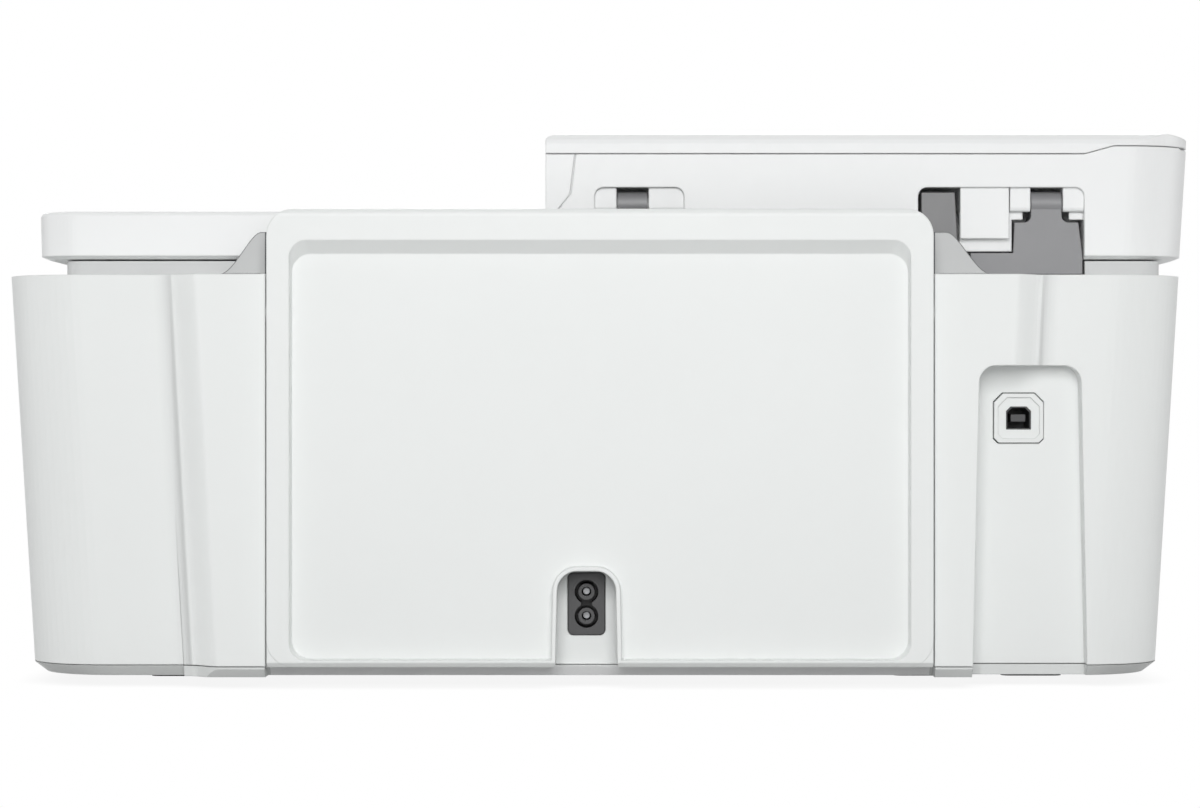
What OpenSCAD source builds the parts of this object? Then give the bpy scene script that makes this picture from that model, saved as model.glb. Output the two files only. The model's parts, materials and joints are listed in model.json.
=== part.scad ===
// Compact home inkjet printer with flatbed scanner and document feeder.
// Front faces -Y, rear faces +Y, Z is up and the feet stand on z = 0.

/* [Body] */
// room from the folded tray to the side of the casing
side_room = 94.1; // [93.4:0.1:94.8]
// front face of the casing
front_y = -166; // [-168:0.5:-165]
// rear face outside the raised middle
rear_y = 154.5; // [154:0.1:155]
// how far the raised middle of the rear stands out
rear_step = 7; // [6.8:0.1:7.2]
// top edge of the casing
casing_top = 145.8; // [145.6:0.1:146]
// lower edge of the casing walls
casing_low = 7.6; // [7.5:0.1:7.8]
// how much each side leans in toward the bottom
side_lean = 8.2; // [8:0.1:9]
// radius of the upright corners
corner_r = 28; // [24:1:30]
// thickness of moulded walls
wall = 2.6; // [2.4:0.1:2.8]
// play between neighbouring pieces
gap = 0.3; // [0.28:0.01:0.32]
// radial play where a shaft turns in a bore
run_play = 0.05; // [0.04:0.01:0.06]

/* [Input tray] */
// half the width of the folding tray
tray_half = 117; // [116.5:0.1:117.2]
// outer face of the folded tray
tray_face = 166; // [165.8:0.1:166.2]
// depth of the tray through its frame
tray_deep = 14; // [13.5:0.1:14.2]
// top edge of the folded tray
tray_top = 168.6; // [168:0.1:168.8]
// lower edge of the folded tray
tray_low = 7.6; // [7.6:0.1:7.8]
// height of the tray pivot
pivot_z = 132; // [131.5:0.1:132.5]
// depth position of the tray pivot
pivot_y = 157; // [156.8:0.1:157.2]
// radius of the tray pivot pins
pivot_r = 3.2; // [3:0.1:3.3]
// depth of the recess in the tray face
recess_deep = 4.5; // [4:0.1:5]
// half the width of the recess
recess_half = 109; // [108:0.5:110]

/* [Lid] */
// gap of the neck between casing and lid
neck_h = 6.9; // [6.8:0.1:7]
// thickness of the low half of the lid
lid_deep = 17.3; // [17.2:0.1:17.4]
// rear wall of the lid
lid_rear = 123.5; // [123:0.1:124]
// right end of the lid
lid_right = 206.2; // [205:0.1:207]
// left end of the lid
lid_left = -216.9; // [-217.5:0.1:-216]
// depth position of the lid pivot
hinge_y = 117; // [116.8:0.1:117.2]
// height of the lid pivot above the underside of the lid
hinge_rise = 20.3; // [20.2:0.1:20.4]
// radius of the lid hinge pins
hinge_r = 2.5; // [2.3:0.1:2.7]

/* [Document feeder] */
// right end of the feeder hump
hump_right = 19.8; // [19:0.1:20]
// height of the feeder housing above the low half of the lid
seam_rise = 21.1; // [21:0.1:21.2]
// how much higher the housing is at the hinge end
seam_step = 2.9; // [2.8:0.1:3]
// height of the feeder cover above its seam
cover_rise = 8.9; // [8.8:0.1:9.2]
// radius of the feeder drum
drum_r = 14; // [13.5:0.1:14]
// radius of the document pick tyre
doc_pick_r = 7.5; // [7:0.1:7.6]
// radius of the document exit tyre
doc_exit_r = 5.6; // [5:0.1:5.8]
// width of a sheet of paper
paper_w = 216; // [210:1:216]

/* [Paper path] */
// radius of the sheet pick tyres
pick_r = 14; // [13.5:0.1:14]
// radius of the feed roller
feed_r = 7; // [6.5:0.1:7]
// radius of the exit tyres
eject_r = 6; // [5.5:0.1:6]
// radius of the roller shafts
shaft_r = 3; // [2.8:0.1:3.2]
// size of the gear teeth
gear_module = 1; // [1:0.1:1]
// teeth of the feed gear
feed_teeth = 36; // [36:1:36]
// teeth of the exit gear
eject_teeth = 30; // [30:1:30]
// teeth of the pick gear
pick_teeth = 32; // [32:1:32]
// teeth of the motor pinion
pinion_teeth = 12; // [12:1:12]

/* [Carriage] */
// width of the print carriage
carriage_w = 60; // [58:1:60]
// radius of the guide rod
rod_r = 4; // [3.8:0.1:4.2]
// width of an ink cartridge
cartridge_w = 24; // [23:0.5:25]

/* [Front] */
// left end of the control panel
panel_left = -180; // [-182:1:-178]
// width of the control panel
panel_w = 90; // [88:1:92]
// lower edge of the panel and door
panel_low = 64; // [63.5:0.1:64.5]
// upper edge of the panel and door
panel_high = 141; // [140.5:0.1:141.2]
// radius of a push button
button_r = 5; // [4.5:0.1:5.5]
// width of the cartridge door
door_w = 262; // [260:1:264]
// half the width of the output tray
out_half = 108; // [107:0.5:109]
// pull-out length of the output tray
out_deep = 126; // [120:1:128]

/* [Hidden] */
$fn = 64;
eps = 0.01;
half_w = tray_half + side_room;
body_w = 2 * half_w;
// the drawing is centred on the paper; the casing and the finished part sit beside it
casing_mid = 1.8;
frame_shift = 2;
base_low = 3.6;
lid_low = casing_top + neck_h;
lid_top = lid_low + lid_deep;
hinge_z = lid_low + hinge_rise;
seam_z = lid_top + seam_rise;
seam_high = seam_z + seam_step;
hump_top = seam_z + cover_rise;
block_y = rear_y + rear_step;
casing_mid_z = casing_top - casing_low;
door_left = panel_left + panel_w + 4;
door_right = door_left + door_w;
tray_back = tray_face - tray_deep;
hinge_rod_x = lid_left + 1.6;
hinge_rod_z = seam_high + 2.2;

// paper chute: its face starts under the flipped tray and leans 30 degrees
chute_lean = 30;
chute_top = [135.2, 100.2];
pick_at = [105.1, 77.2];
feed_at = [44, 43];
eject_at = [-22, 44];
gear_x = -152;
gear_w = 6;
belt_y = 44;
belt_z = 73;
belt_h = 6;
belt_half = 6;
pulley_x = 185;
rod_at = [58, 98];
carriage_x = 153;
carriage_low = 51.5;
carriage_top = 100;
drum_at = [-168, lid_top + 0.9];
doc_pick_at = [-130.5, lid_top + 14.9];
doc_exit_at = [-128.2, lid_top - 3.1];
doc_teeth = 30;
doc_small_teeth = 20;
doc_idler_teeth = 25;
doc_module = 0.8;
doc_gear_y = 90;
doc_gear_w = 4;
doc_front_y = -116;
doc_mid_y = -12.5;
rib_front = [-126, -122.3];
rib_rear = [97.3, 101];
doc_plate_z = lid_top + 4.7;
doc_plate_t = 2.2;

white = [0.93, 0.94, 0.94];
ear_grey = [0.77, 0.77, 0.77];
hinge_grey = [0.58, 0.58, 0.58];
shade_grey = [0.71, 0.72, 0.71];
black_gloss = [0.05, 0.05, 0.06];
dark = [0.15, 0.15, 0.16];
rubber_grey = [0.2, 0.2, 0.21];
steel = [0.72, 0.73, 0.75];
board_green = [0.12, 0.32, 0.2];
gear_white = [0.87, 0.86, 0.8];
glass_tint = [0.7, 0.8, 0.8];

// ---- helpers ----

module box(x0, x1, y0, y1, z0, z1) {
    translate([x0, y0, z0]) cube([x1 - x0, y1 - y0, z1 - z0]);
}

module rod_x(x0, x1, at, r) {
    translate([x0, at[0], at[1]]) rotate([0, 90, 0]) cylinder(h = x1 - x0, r = r);
}

module rod_y(y0, y1, at, r) {
    translate([at[0], y0, at[1]]) rotate([-90, 0, 0]) cylinder(h = y1 - y0, r = r);
}

module rod_z(z0, z1, at, r) {
    translate([at[0], at[1], z0]) cylinder(h = z1 - z0, r = r);
}

// flat shape drawn in depth and height, pulled along X
module side_shape(x0, x1) {
    translate([x0, 0, 0]) rotate([90, 0, 90]) linear_extrude(x1 - x0) children();
}

// flat shape drawn in width and height, pulled along Y
module back_shape(y0, y1) {
    translate([0, y1, 0]) rotate([90, 0, 0]) linear_extrude(y1 - y0) children();
}

// rounded rectangle
module round_rect(x0, x1, y0, y1, r) {
    union() {
        translate([x0 + r, y0]) square([x1 - x0 - 2 * r, y1 - y0]);
        translate([x0, y0 + r]) square([x1 - x0, y1 - y0 - 2 * r]);
        for (x = [x0 + r, x1 - r], y = [y0 + r, y1 - r]) translate([x, y]) circle(r);
    }
}

// upright plate with rounded plan corners
module plate(x0, x1, y0, y1, z0, z1, r) {
    translate([0, 0, z0]) linear_extrude(z1 - z0) round_rect(x0, x1, y0, y1, r);
}

// leaning casing block: upright corner rods joined from low to high
module lean_block(inset, z0, z1, cut) {
    r = corner_r - inset;
    hull() {
        for (s = [[z0, cut], [z0 + cut, 0], [z1, 0]]) {
            z = s[0];
            lean = side_lean * (casing_top - z) / casing_mid_z;
            x = half_w - inset - lean - s[1] - r;
            y0 = front_y + inset + s[1] + r;
            y1 = rear_y - inset - s[1] - lean * 0.2 - r;
            for (px = [-x, x], py = [y0, y1]) translate([casing_mid + px, py, z]) cylinder(h = eps, r = r);
        }
    }
}

// involute gear outline
function involute(base, t) =
    [base * (cos(t) + t * PI / 180 * sin(t)), base * (sin(t) - t * PI / 180 * cos(t))];
function turned(p, a) = [p[0] * cos(a) - p[1] * sin(a), p[0] * sin(a) + p[1] * cos(a)];
function reach(base, r) = r <= base ? 0 : sqrt(pow(r / base, 2) - 1) * 180 / PI;
function flank_angle(base, r) = r <= base ? 0 : reach(base, r) - acos(base / r);
module gear_flat(teeth, m) {
    pitch = teeth * m / 2;
    base = pitch * cos(20);
    tip = pitch + 0.9 * m;
    root = pitch - 1.2 * m;
    half = 90 / teeth - 0.07 / pitch * 180 / PI;
    lead = half + flank_angle(base, pitch);
    steps = [0, 0.35, 0.65, 1];
    low = max(root, base);
    tooth = [for (s = steps) turned(involute(base, reach(base, low + s * (tip - low))), -lead)];
    back = [for (i = [len(tooth) - 1:-1:0]) [tooth[i][0], -tooth[i][1]]];
    points = concat([[root * cos(lead + 0.1), -root * sin(lead + 0.1)]], tooth, back,
        [[root * cos(lead + 0.1), root * sin(lead + 0.1)]]);
    polygon([for (k = [0:teeth - 1]) for (p = points) turned(p, k * 360 / teeth)]);
}

// angle that meshes a second gear with a first one in direction phi
function meshed(a, n1, n2, phi) = phi + 180 - (0.5 - (phi - a) * n1 / 360) * 360 / n2;

module gear_x_at(at, teeth, m, x, w, a) {
    translate([x, at[0], at[1]]) rotate([90, 0, 90]) rotate(a) linear_extrude(w) gear_flat(teeth, m);
}

module gear_y_at(at, teeth, m, y, w, a) {
    translate([at[0], y + w, at[1]]) rotate([90, 0, 0]) rotate(a) linear_extrude(w)
        gear_flat(teeth, m);
}

// ---- casing ----

// where the raised middle ends at the top and bottom, and how wide its soft step is
crease_left = [152.3, 144.5];
crease_right = [-157.1, -150.6];
step_w = 10;
usb_x0 = -170.5;
usb_x1 = -133.5;
usb_spread = 2.4;
usb_top = 113.6;
usb_floor = 146;
usb_x = -149.2;
usb_z = 95;
usb_bezel = 17.5;
inlet_x = 4.8;
inlet_z = 29;
inlet_w = 12.9;
inlet_h = 21.8;
rear_wall_y = 150;
throat_z = 94;
throat_y = 118.6;
bay_half = tray_half + 0.8;
bay_wall = 2.7;
tub_left = -204.5;
tub_right = 195;
tub_front = -150;
tub_rear = 118;

// soft step from 0 to 1
function soft(t) = t * t * (3 - 2 * t);

// one side of the raised middle, tilted so that its step follows the crease
module raised_side(side, line, z0, z1, inset) {
    rise = casing_top - casing_low;
    tilt = atan((abs(line[0]) - abs(line[1])) / rise);
    steps = 12;
    edge = [for (k = [0:steps]) [-k * step_w / steps - inset, rear_y + rear_step * soft(k / steps) - inset]];
    intersection() {
        box(-300, 300, rear_y - 12, block_y + 1, z0, z1);
        translate([line[0], 0, casing_top]) rotate([0, side * tilt, 0]) translate([0, 0, -200])
            linear_extrude(260) mirror([side > 0 ? 0 : 1, 0, 0])
                polygon(concat([[3 - inset, rear_y - 1 - inset], [3 - inset, rear_y - 11]],
                    [[-abs(line[0]) - 4, rear_y - 11], [-abs(line[0]) - 4, block_y - inset]],
                    [for (k = [steps:-1:0]) edge[k]]));
    }
}

module raised_middle(z0, z1, inset) {
    raised_side(1, crease_left, z0, z1, inset);
    raised_side(-1, crease_right, z0, z1, inset);
}

// connector recess, a little wider toward the bottom
module usb_hollow(grow, low) {
    r = 6 + grow;
    top = usb_top + grow;
    union() {
        polygon([[usb_x0 - grow, top - r], [usb_x0 - grow - usb_spread, low], [usb_x1 + grow + usb_spread, low],
            [usb_x1 + grow, top - r]]);
        translate([usb_x0 - grow + r, top - r - 1]) square([usb_x1 - usb_x0 + 2 * grow - 2 * r, r + 1]);
        for (x = [usb_x0 - grow + r, usb_x1 + grow - r]) translate([x, top - r]) circle(r);
    }
}

module outer_casing() {
    color(white)
    difference() {
        union() {
            difference() {
                lean_block(0, casing_low, casing_top, 0);
                lean_block(wall, casing_low - 1, casing_top - wall, 0);
            }
            difference() {
                raised_middle(casing_low, casing_top, 0);
                box(-bay_half - 6, bay_half + 6, rear_y - 20, rear_wall_y - wall, 0, casing_top - wall);
                box(bay_half + 8, 136, rear_y - 20, block_y - wall, 0, casing_top - wall);
                box(-131, -bay_half - 8, rear_y - 20, block_y - wall, 0, casing_top - wall);
            }
            box(-bay_half - 8, bay_half + 8, rear_wall_y - wall, rear_wall_y + 2, casing_low, throat_z);
            back_shape(usb_floor - wall, rear_y - wall) usb_hollow(wall, casing_low);
            for (x = [[door_left - 3.7, door_left - gap], [door_right + gap, door_right + 4]])
                box(x[0], x[1], front_y, front_y + 6.4, panel_low - 4, panel_low + 7);
        }
        // room for the folded tray, the paper throat and the scanner tub
        box(-bay_half, bay_half, rear_wall_y, tray_face + 4, 0, casing_top + 9);
        box(-bay_half - bay_wall - gap, bay_half + bay_wall + gap, throat_y, rear_wall_y + 2.8,
            throat_z, casing_top + 9);
        box(tub_left - gap, tub_right + gap, tub_front - gap, tub_rear + gap, 110, casing_top + 9);
        // pivot bores
        for (side = [-1, 1]) translate([side * (bay_half + 2), pivot_y, pivot_z])
            rotate([0, 90, 0]) cylinder(h = 5, r = pivot_r + run_play, center = true);
        // connector recess and its port
        back_shape(usb_floor, tray_face) usb_hollow(0, -1);
        back_shape(usb_floor - 5, usb_floor + 1) usb_plate(-gap);
        // power inlet
        back_shape(rear_wall_y - 8, rear_wall_y + 1) inlet_face(gap);
        // front openings: panel, door and output slot
        box(panel_left - gap, panel_left + panel_w + gap, front_y - 1, front_y + wall + 1,
            panel_low - gap, panel_high + gap);
        box(door_left - gap, door_right + gap, front_y - 1, front_y + wall + 1,
            panel_low - gap, panel_high + gap);
        box(-out_half - 6, out_half + 6, front_y - 1, front_y + wall + 1, 0, 58);
        // door pin bores
        for (x = [door_left - 2, door_right + 2]) translate([x, front_y + 2.6, panel_low + 2.6])
            rotate([0, 90, 0]) cylinder(h = 4, r = 1.3 + run_play, center = true);
    }
}

module base_pan() {
    color(shade_grey)
    difference() {
        union() {
            lean_block(0, base_low, casing_low - gap, 3.6);
            // the pan follows the raised middle beside the tray
            difference() {
                intersection() {
                    raised_middle(base_low, casing_low - gap, 0);
                    side_shape(-220, 220) polygon([[rear_y - 14, base_low], [block_y - 3, base_low],
                        [block_y + 1, casing_low], [rear_y - 14, casing_low]]);
                }
                box(-bay_half - 0.2, bay_half + 0.2, rear_y - 20, block_y + 1, 0, casing_low + 1);
            }
            // rails that carry the output tray
            for (side = [-1, 1]) {
                box(side * (out_half + 2.3) - 2, side * (out_half + 2.3) + 2, -160, -34, 5, 20);
                box(side * (out_half + 0.3) - 4, side * (out_half + 0.3) + 4, -160, -34, 5, 14 - gap);
                box(side * (out_half + 0.3) - 2, side * (out_half + 0.3) + 2, -158, -60, 17 + gap, 20);
            }
        }
        // notch beside the connector recess and hollow underside
        back_shape(usb_floor, tray_face) usb_hollow(0, -1);
        for (x = [-140, 0, 140]) plate(x - 52, x + 52, -120, 90, -1, base_low + 1.6, 8);
    }
}

module foot_pads() {
    color(rubber_grey) {
        foot_h = base_low - gap;
        plate(140, 165, 94, 110, 0, foot_h, 3);
        plate(-124, -108, 93, 108, 0, foot_h, 3);
        for (x = [-150, 150]) plate(x - 11, x + 11, -150, -134, 0, foot_h, 3);
        plate(-170, -148, 94, 108, 0, foot_h, 3);
    }
}

// ---- paper bay and folding tray ----

function chute(t, off) = [chute_top[0] - t * sin(chute_lean) - off * cos(chute_lean),
    chute_top[1] - t * cos(chute_lean) + off * sin(chute_lean)];

module paper_bay() {
    bend = chute(54, 0);
    bend_back = chute(56, -2.4);
    ear_foot = casing_top + gap;
    color(ear_grey) {
        difference() {
            union() {
                side_shape(-bay_half, bay_half)
                    polygon([chute(0, 0), bend, [bend[0] - 10, bend[1] - 8], [66, 43.6], [52, 43.6],
                        [52, 41.2], [66, 41.2], [bend[0] - 9, bend[1] - 11], bend_back, chute(0, -2.4)]);
                for (side = [-1, 1]) {
                    x0 = side > 0 ? bay_half : -bay_half - bay_wall;
                    side_shape(x0, x0 + bay_wall)
                        polygon([[119.2, casing_top], [119.2, 98], [112, 60], [100, 41.2], [108, 41.2],
                            [136, 94.6], [rear_wall_y + 2, 94.6], [rear_wall_y + 2, 161], [128, 161],
                            [126, 159], [126, casing_top]]);
                }
                ears(ear_foot);
            }
            // slots where the pick tyres bite
            for (x = [-33, 33]) translate([x, pick_at[0], pick_at[1]]) rotate([0, 90, 0])
                cylinder(h = 28, r = pick_r + 0.8, center = true);
        }
    }
}

module ears(foot) {
    ear(foot, [bay_half + 2.6, bay_half + 17.4]);
    mirror([1, 0, 0]) ear(foot, [bay_half + 5.4, bay_half + 21.2]);
}

module ear(foot, crest) {
    top = 161;
    steps = 14;
    back_shape(126, rear_wall_y + 2)
        polygon(concat([[bay_half + 1, top], [bay_half + 1, foot]],
            [for (k = [steps:-1:0]) [crest[0] + (crest[1] - crest[0]) * (k / steps),
                top - (top - foot) * pow(soft(k / steps), 0.85)]]));
}

notch_x0 = -5.6;
notch_x1 = 15.1;
notch_top = 41.4;
notch_r = 7;
notch_spread = 0.9;

module notch_flat(grow) {
    union() {
        polygon([[notch_x0 - notch_spread - grow, -5], [notch_x1 + notch_spread + grow, -5],
            [notch_x1 + grow, notch_top - notch_r], [notch_x0 - grow, notch_top - notch_r]]);
        translate([notch_x0 + notch_r, -5])
            square([notch_x1 - notch_x0 - 2 * notch_r, notch_top + grow + 5]);
        for (x = [notch_x0 + notch_r, notch_x1 - notch_r]) translate([x, notch_top - notch_r])
            circle(notch_r + grow);
    }
}

module input_tray() {
    web = 3;
    rim_top = 157.5;
    rim_low = 10;
    ledge = 4.6;
    back_in = tray_face - recess_deep - web;
    color(white)
    difference() {
        union() {
            intersection() {
                back_shape(tray_back, tray_face) round_rect(-tray_half, tray_half, tray_low, tray_top, 9.5);
                // top and bottom edges are eased across the thickness
                side_shape(-tray_half - 1, tray_half + 1)
                    polygon([[tray_back, tray_low + 1], [tray_face - 1.6, tray_low], [tray_face, tray_low + 1.6],
                        [tray_face, tray_top - 2.6], [tray_face - 0.2, tray_top - 1.6],
                        [tray_face - 0.8, tray_top - 0.8], [tray_face - 1.6, tray_top - 0.2],
                        [tray_face - 2.6, tray_top], [tray_back + 2, tray_top], [tray_back, tray_top - 2]]);
            }
            for (side = [-1, 1]) rod_x(side > 0 ? tray_half - 1 : -bay_half - 4, side > 0 ? bay_half + 4
                : -tray_half + 1, [pivot_y, pivot_z], pivot_r);
        }
        // face recess: its walls slope inward, most at the top ledge
        difference() {
            hull() {
                back_shape(tray_face - eps, tray_face + 1)
                    round_rect(-recess_half, recess_half, rim_low, rim_top, 6);
                back_shape(tray_face - recess_deep, tray_face - recess_deep + eps)
                    round_rect(-recess_half + 0.4, recess_half - 0.4, rim_low + 0.3, rim_top - ledge, 7);
            }
            difference() {
                back_shape(tray_face - recess_deep, tray_face) notch_flat(1.5);
                back_shape(tray_face - recess_deep - 1, tray_face + 1) notch_flat(0);
            }
        }
        // hollow back in three bays
        for (b = [[8 - tray_half, -16], [24, tray_half - 8]]) box(b[0], b[1], tray_back - 1, back_in, 14, 118);
        box(8 - tray_half, tray_half - 8, tray_back - 1, back_in, 144, 160);
        box(-16, 24, tray_back - 1, back_in, 50, 118);
        back_shape(tray_back - 1, tray_face + 1) notch_flat(0);
    }
}

module paper_width_guide() {
    start_x = bay_half - 13.8;
    color(ear_grey) {
        side_shape(start_x, start_x + 2.4)
            polygon([chute(1, 0.4), chute(18, 0.4), chute(18, 8), chute(14, 9.5), chute(1, 9.5)]);
        side_shape(start_x - 12, start_x + 2.4)
            polygon([chute(4, 0.4), chute(15, 0.4), chute(15, 2), chute(4, 2)]);
        side_shape(start_x - 6, start_x - 3) polygon([chute(7, 1.9), chute(12, 1.9), chute(11, 6), chute(8, 6)]);
    }
}

// ---- print mechanism ----

plate_x = 123.4;
plate_t = 2;
stud_r = 2;

module print_frame() {
    floor_z = casing_low;
    color(steel)
    difference() {
        union() {
            box(-197, 197, -28, 118, floor_z, floor_z + 1.6);
            for (side = [-1, 1]) {
                x0 = side > 0 ? plate_x : -plate_x - plate_t;
                side_shape(x0, x0 + plate_t)
                    polygon([[-28, floor_z], [118, floor_z], [118, 86], [112, 92], [98, 92], [88, 80],
                        [62, 58], [54, 49.5], [-28, 49.5]]);
                e0 = side > 0 ? 194 : -196;
                side_shape(e0, e0 + 2) polygon([[30, floor_z], [70, floor_z], [66, 106], [50, 106], [30, 84]]);
            }
            // studs of the two idler gears
            for (at = [pick_idler_at, eject_idler_at]) rod_x(gear_x - 0.6, -plate_x, at, stud_r);
            // cross bar with the arms that hold the pinch rollers
            box(-plate_x, plate_x, 56, 64, 55, 62);
            for (x = [-112:32:112]) pinch_arm(x);
        }
        for (at = [pick_at, feed_at, eject_at]) rod_x(-130, 130, at, shaft_r + run_play);
        rod_x(-130, 130, pinch_at, 1 + run_play);
    }
}

feed_a = 0;
eject_phi = atan2(eject_at[1] - feed_at[1], eject_at[0] - feed_at[0]);
pick_phi = atan2(pick_at[1] - feed_at[1], pick_at[0] - feed_at[0]);
eject_idler_teeth = 33;
pick_idler_teeth = 36;
eject_span = (feed_teeth + eject_idler_teeth) * gear_module / 2;
pick_span = (feed_teeth + pick_idler_teeth) * gear_module / 2 + 0.01;
eject_idler_at = feed_at + eject_span * [cos(eject_phi), sin(eject_phi)];
pick_idler_at = feed_at + pick_span * [cos(pick_phi), sin(pick_phi)];
eject_idler_a = meshed(feed_a, feed_teeth, eject_idler_teeth, eject_phi);
pick_idler_a = meshed(feed_a, feed_teeth, pick_idler_teeth, pick_phi);
eject_a = meshed(eject_idler_a, eject_idler_teeth, eject_teeth, eject_phi);
pick_a = meshed(pick_idler_a, pick_idler_teeth, pick_teeth, pick_phi);
motor_phi = -60;
motor_span = (feed_teeth + pinion_teeth) * gear_module / 2;
motor_at = feed_at + motor_span * [cos(motor_phi), sin(motor_phi)];
motor_a = meshed(feed_a, feed_teeth, pinion_teeth, motor_phi);

module pick_roller() {
    color(gear_white) {
        rod_x(gear_x - 2, plate_x + plate_t + 2, pick_at, shaft_r);
        gear_x_at(pick_at, pick_teeth, gear_module, gear_x, gear_w, pick_a);
    }
    color(rubber_grey) for (x = [-33, 33]) rod_x(x - 12, x + 12, pick_at, pick_r);
}

module feed_roller() {
    disc_x = 187;
    color(steel) rod_x(gear_x - 2, disc_x + 3, feed_at, shaft_r);
    color(dark) rod_x(-112, 112, feed_at, feed_r);
    // coded disc that reports the roller's turn
    color(glass_tint) rod_x(disc_x, disc_x + 0.8, feed_at, 19);
    color(gear_white) gear_x_at(feed_at, feed_teeth, gear_module, gear_x, gear_w, feed_a);
}

module eject_roller() {
    color(steel) rod_x(gear_x - 2, plate_x + plate_t + 2, eject_at, shaft_r);
    color(rubber_grey) for (x = [-90:36:90]) rod_x(x - 6, x + 6, eject_at, eject_r);
    color(gear_white) gear_x_at(eject_at, eject_teeth, gear_module, gear_x, gear_w, eject_a);
}

pinch_r = 3.4;
pinch_at = [feed_at[0], feed_at[1] + feed_r + pinch_r + 0.4];

module pinch_rollers() {
    color(dark) {
        for (x = [-96:32:96]) rod_x(x - 10, x + 10, pinch_at, pinch_r);
        rod_x(-115, 115, pinch_at, 1);
    }
}

module pinch_arm(x) {
    y = pinch_at[0];
    z = pinch_at[1];
    side_shape(x - 1.5, x + 1.5) polygon([[y - 2.5, z - 2.5], [y + 8, z - 2.5], [y + 12.5, 55.2],
        [y + 12.5, 61.8], [y - 2.5, z + 2.5]]);
}

module pick_idler_gear() {
    color(gear_white) difference() {
        union() {
            gear_x_at(pick_idler_at, pick_idler_teeth, gear_module, gear_x, gear_w, pick_idler_a);
            rod_x(gear_x - 0.8, gear_x + gear_w + 0.8, pick_idler_at, 4);
        }
        rod_x(gear_x - 2, gear_x + gear_w + 2, pick_idler_at, stud_r + run_play);
    }
}

module eject_idler_gear() {
    color(gear_white) difference() {
        union() {
            gear_x_at(eject_idler_at, eject_idler_teeth, gear_module, gear_x, gear_w, eject_idler_a);
            rod_x(gear_x - 0.8, gear_x + gear_w + 0.8, eject_idler_at, 4);
        }
        rod_x(gear_x - 2, gear_x + gear_w + 2, eject_idler_at, stud_r + run_play);
    }
}

module motor_pinion() {
    color(gear_white) difference() {
        gear_x_at(motor_at, pinion_teeth, gear_module, gear_x, gear_w, motor_a);
        rod_x(gear_x - 1, gear_x + gear_w + 1, motor_at, 1.5 + run_play);
    }
}

module feed_motor() {
    color(steel) difference() {
        union() {
            rod_x(gear_x - 32, gear_x - 2, motor_at, 12.6);
            rod_x(gear_x - 2.2, gear_x - 1, motor_at, 5);
            rod_x(gear_x - 3, gear_x + gear_w, motor_at, 1.5);
        }
        rod_x(gear_x - 33, gear_x - 31, motor_at, 6);
    }
}

module platen() {
    color(dark) difference() {
        union() {
            box(-116, 116, -14, 34, 42, 46);
            // lugs that rest in the side plates, and feet on the frame
            box(-plate_x + gap, plate_x - gap, 2, 18, 42, 46);
            for (x = [-96, 96]) box(x - 6, x + 6, 4, 16, casing_low + 1.6 + gap, 44);
            for (x = [-112:14:112]) side_shape(x - 0.8, x + 0.8)
                polygon([[-14, 45.9], [34, 45.9], [33, 49.6], [-12, 49.6]]);
        }
        box(-104, 104, -4, 24, 44, 47);
    }
}

module guide_rods() {
    color(steel) {
        rod_x(-193.7, 193.7, rod_at, rod_r);
        rod_x(tub_left + wall + gap, tub_right - wall - gap, scan_rod_at, rod_r);
    }
}

// ---- carriage ----

bay_x = [-14.2, 14.2];

module carriage() {
    x0 = carriage_x - carriage_w / 2;
    x1 = carriage_x + carriage_w / 2;
    color(dark)
    difference() {
        union() {
            box(x0, x1, -14, 36, carriage_low, carriage_top);
            box(x0 + 4, x1 - 4, 30, rod_at[0], 93, 103);
            for (x = [x0 + 4, x1 - 12]) rod_x(x, x + 8, rod_at, 7);
            // belt clamp and encoder reader
            box(carriage_x - 6, carriage_x + 6, 35, 41.6, belt_z - 3, belt_z + belt_h + 3);
            box(carriage_x - 26, carriage_x - 12, 35, 43, 82, 94);
        }
        for (bx = bay_x) {
            box(carriage_x + bx - cartridge_w / 2 - 0.4, carriage_x + bx + cartridge_w / 2 + 0.4,
                -15, 32, 54, 104);
            box(carriage_x + bx - 8, carriage_x + bx + 8, -15, 22, 50, 55);
        }
        rod_x(x0 - 1, x1 + 1, rod_at, rod_r + run_play);
        box(x0 + 12, x1 - 12, rod_at[0] - 6, rod_at[0] + 1, 90, 104);
        box(carriage_x - 7, carriage_x + 7, belt_y - belt_half - 1.1, belt_y - belt_half + 1.1,
            belt_z - 4, belt_z + belt_h + 0.6);
        box(carriage_x - 27, carriage_x - 11, 38.8, 41, 84, 95);
    }
}

module cartridge(bx, tint) {
    x0 = carriage_x + bx - cartridge_w / 2;
    x1 = x0 + cartridge_w;
    color(tint) difference() {
        union() {
            side_shape(x0, x1)
                polygon([[-12.4, 60], [-10, 54.3], [31.6, 54.3], [31.6, 92], [26, 97.4], [-12.4, 97.4]]);
            box(x0 + 5.2, x1 - 5.2, 3, 21, 52, 55);
        }
        side_shape(x0 + 3, x1 - 3) polygon([[-13, 88], [-11.6, 88], [-11.6, 66], [-13, 66]]);
    }
}

module black_cartridge() {
    cartridge(bay_x[0], dark);
}

module color_cartridge() {
    cartridge(bay_x[1], [0.28, 0.28, 0.3]);
}

latch_at = [20, 102.4];

module latch(bx) {
    x0 = carriage_x + bx - 9;
    x1 = carriage_x + bx + 9;
    color(hinge_grey) {
        difference() {
            side_shape(x0, x1) polygon([[18, 101.2], [18, 104], [-12, 103.4], [-14, 101.2], [-14, 99.2],
                [-12.4, 97.8], [-11, 98.4], [-11, 100.4]]);
            box(x0 - 1, x1 + 1, 17.4, 24, 99, 106);
        }
        rod_x(x0, x1, [17.6, 102.4], 1.6);
    }
}

module black_latch() {
    latch(bay_x[0]);
}

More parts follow.
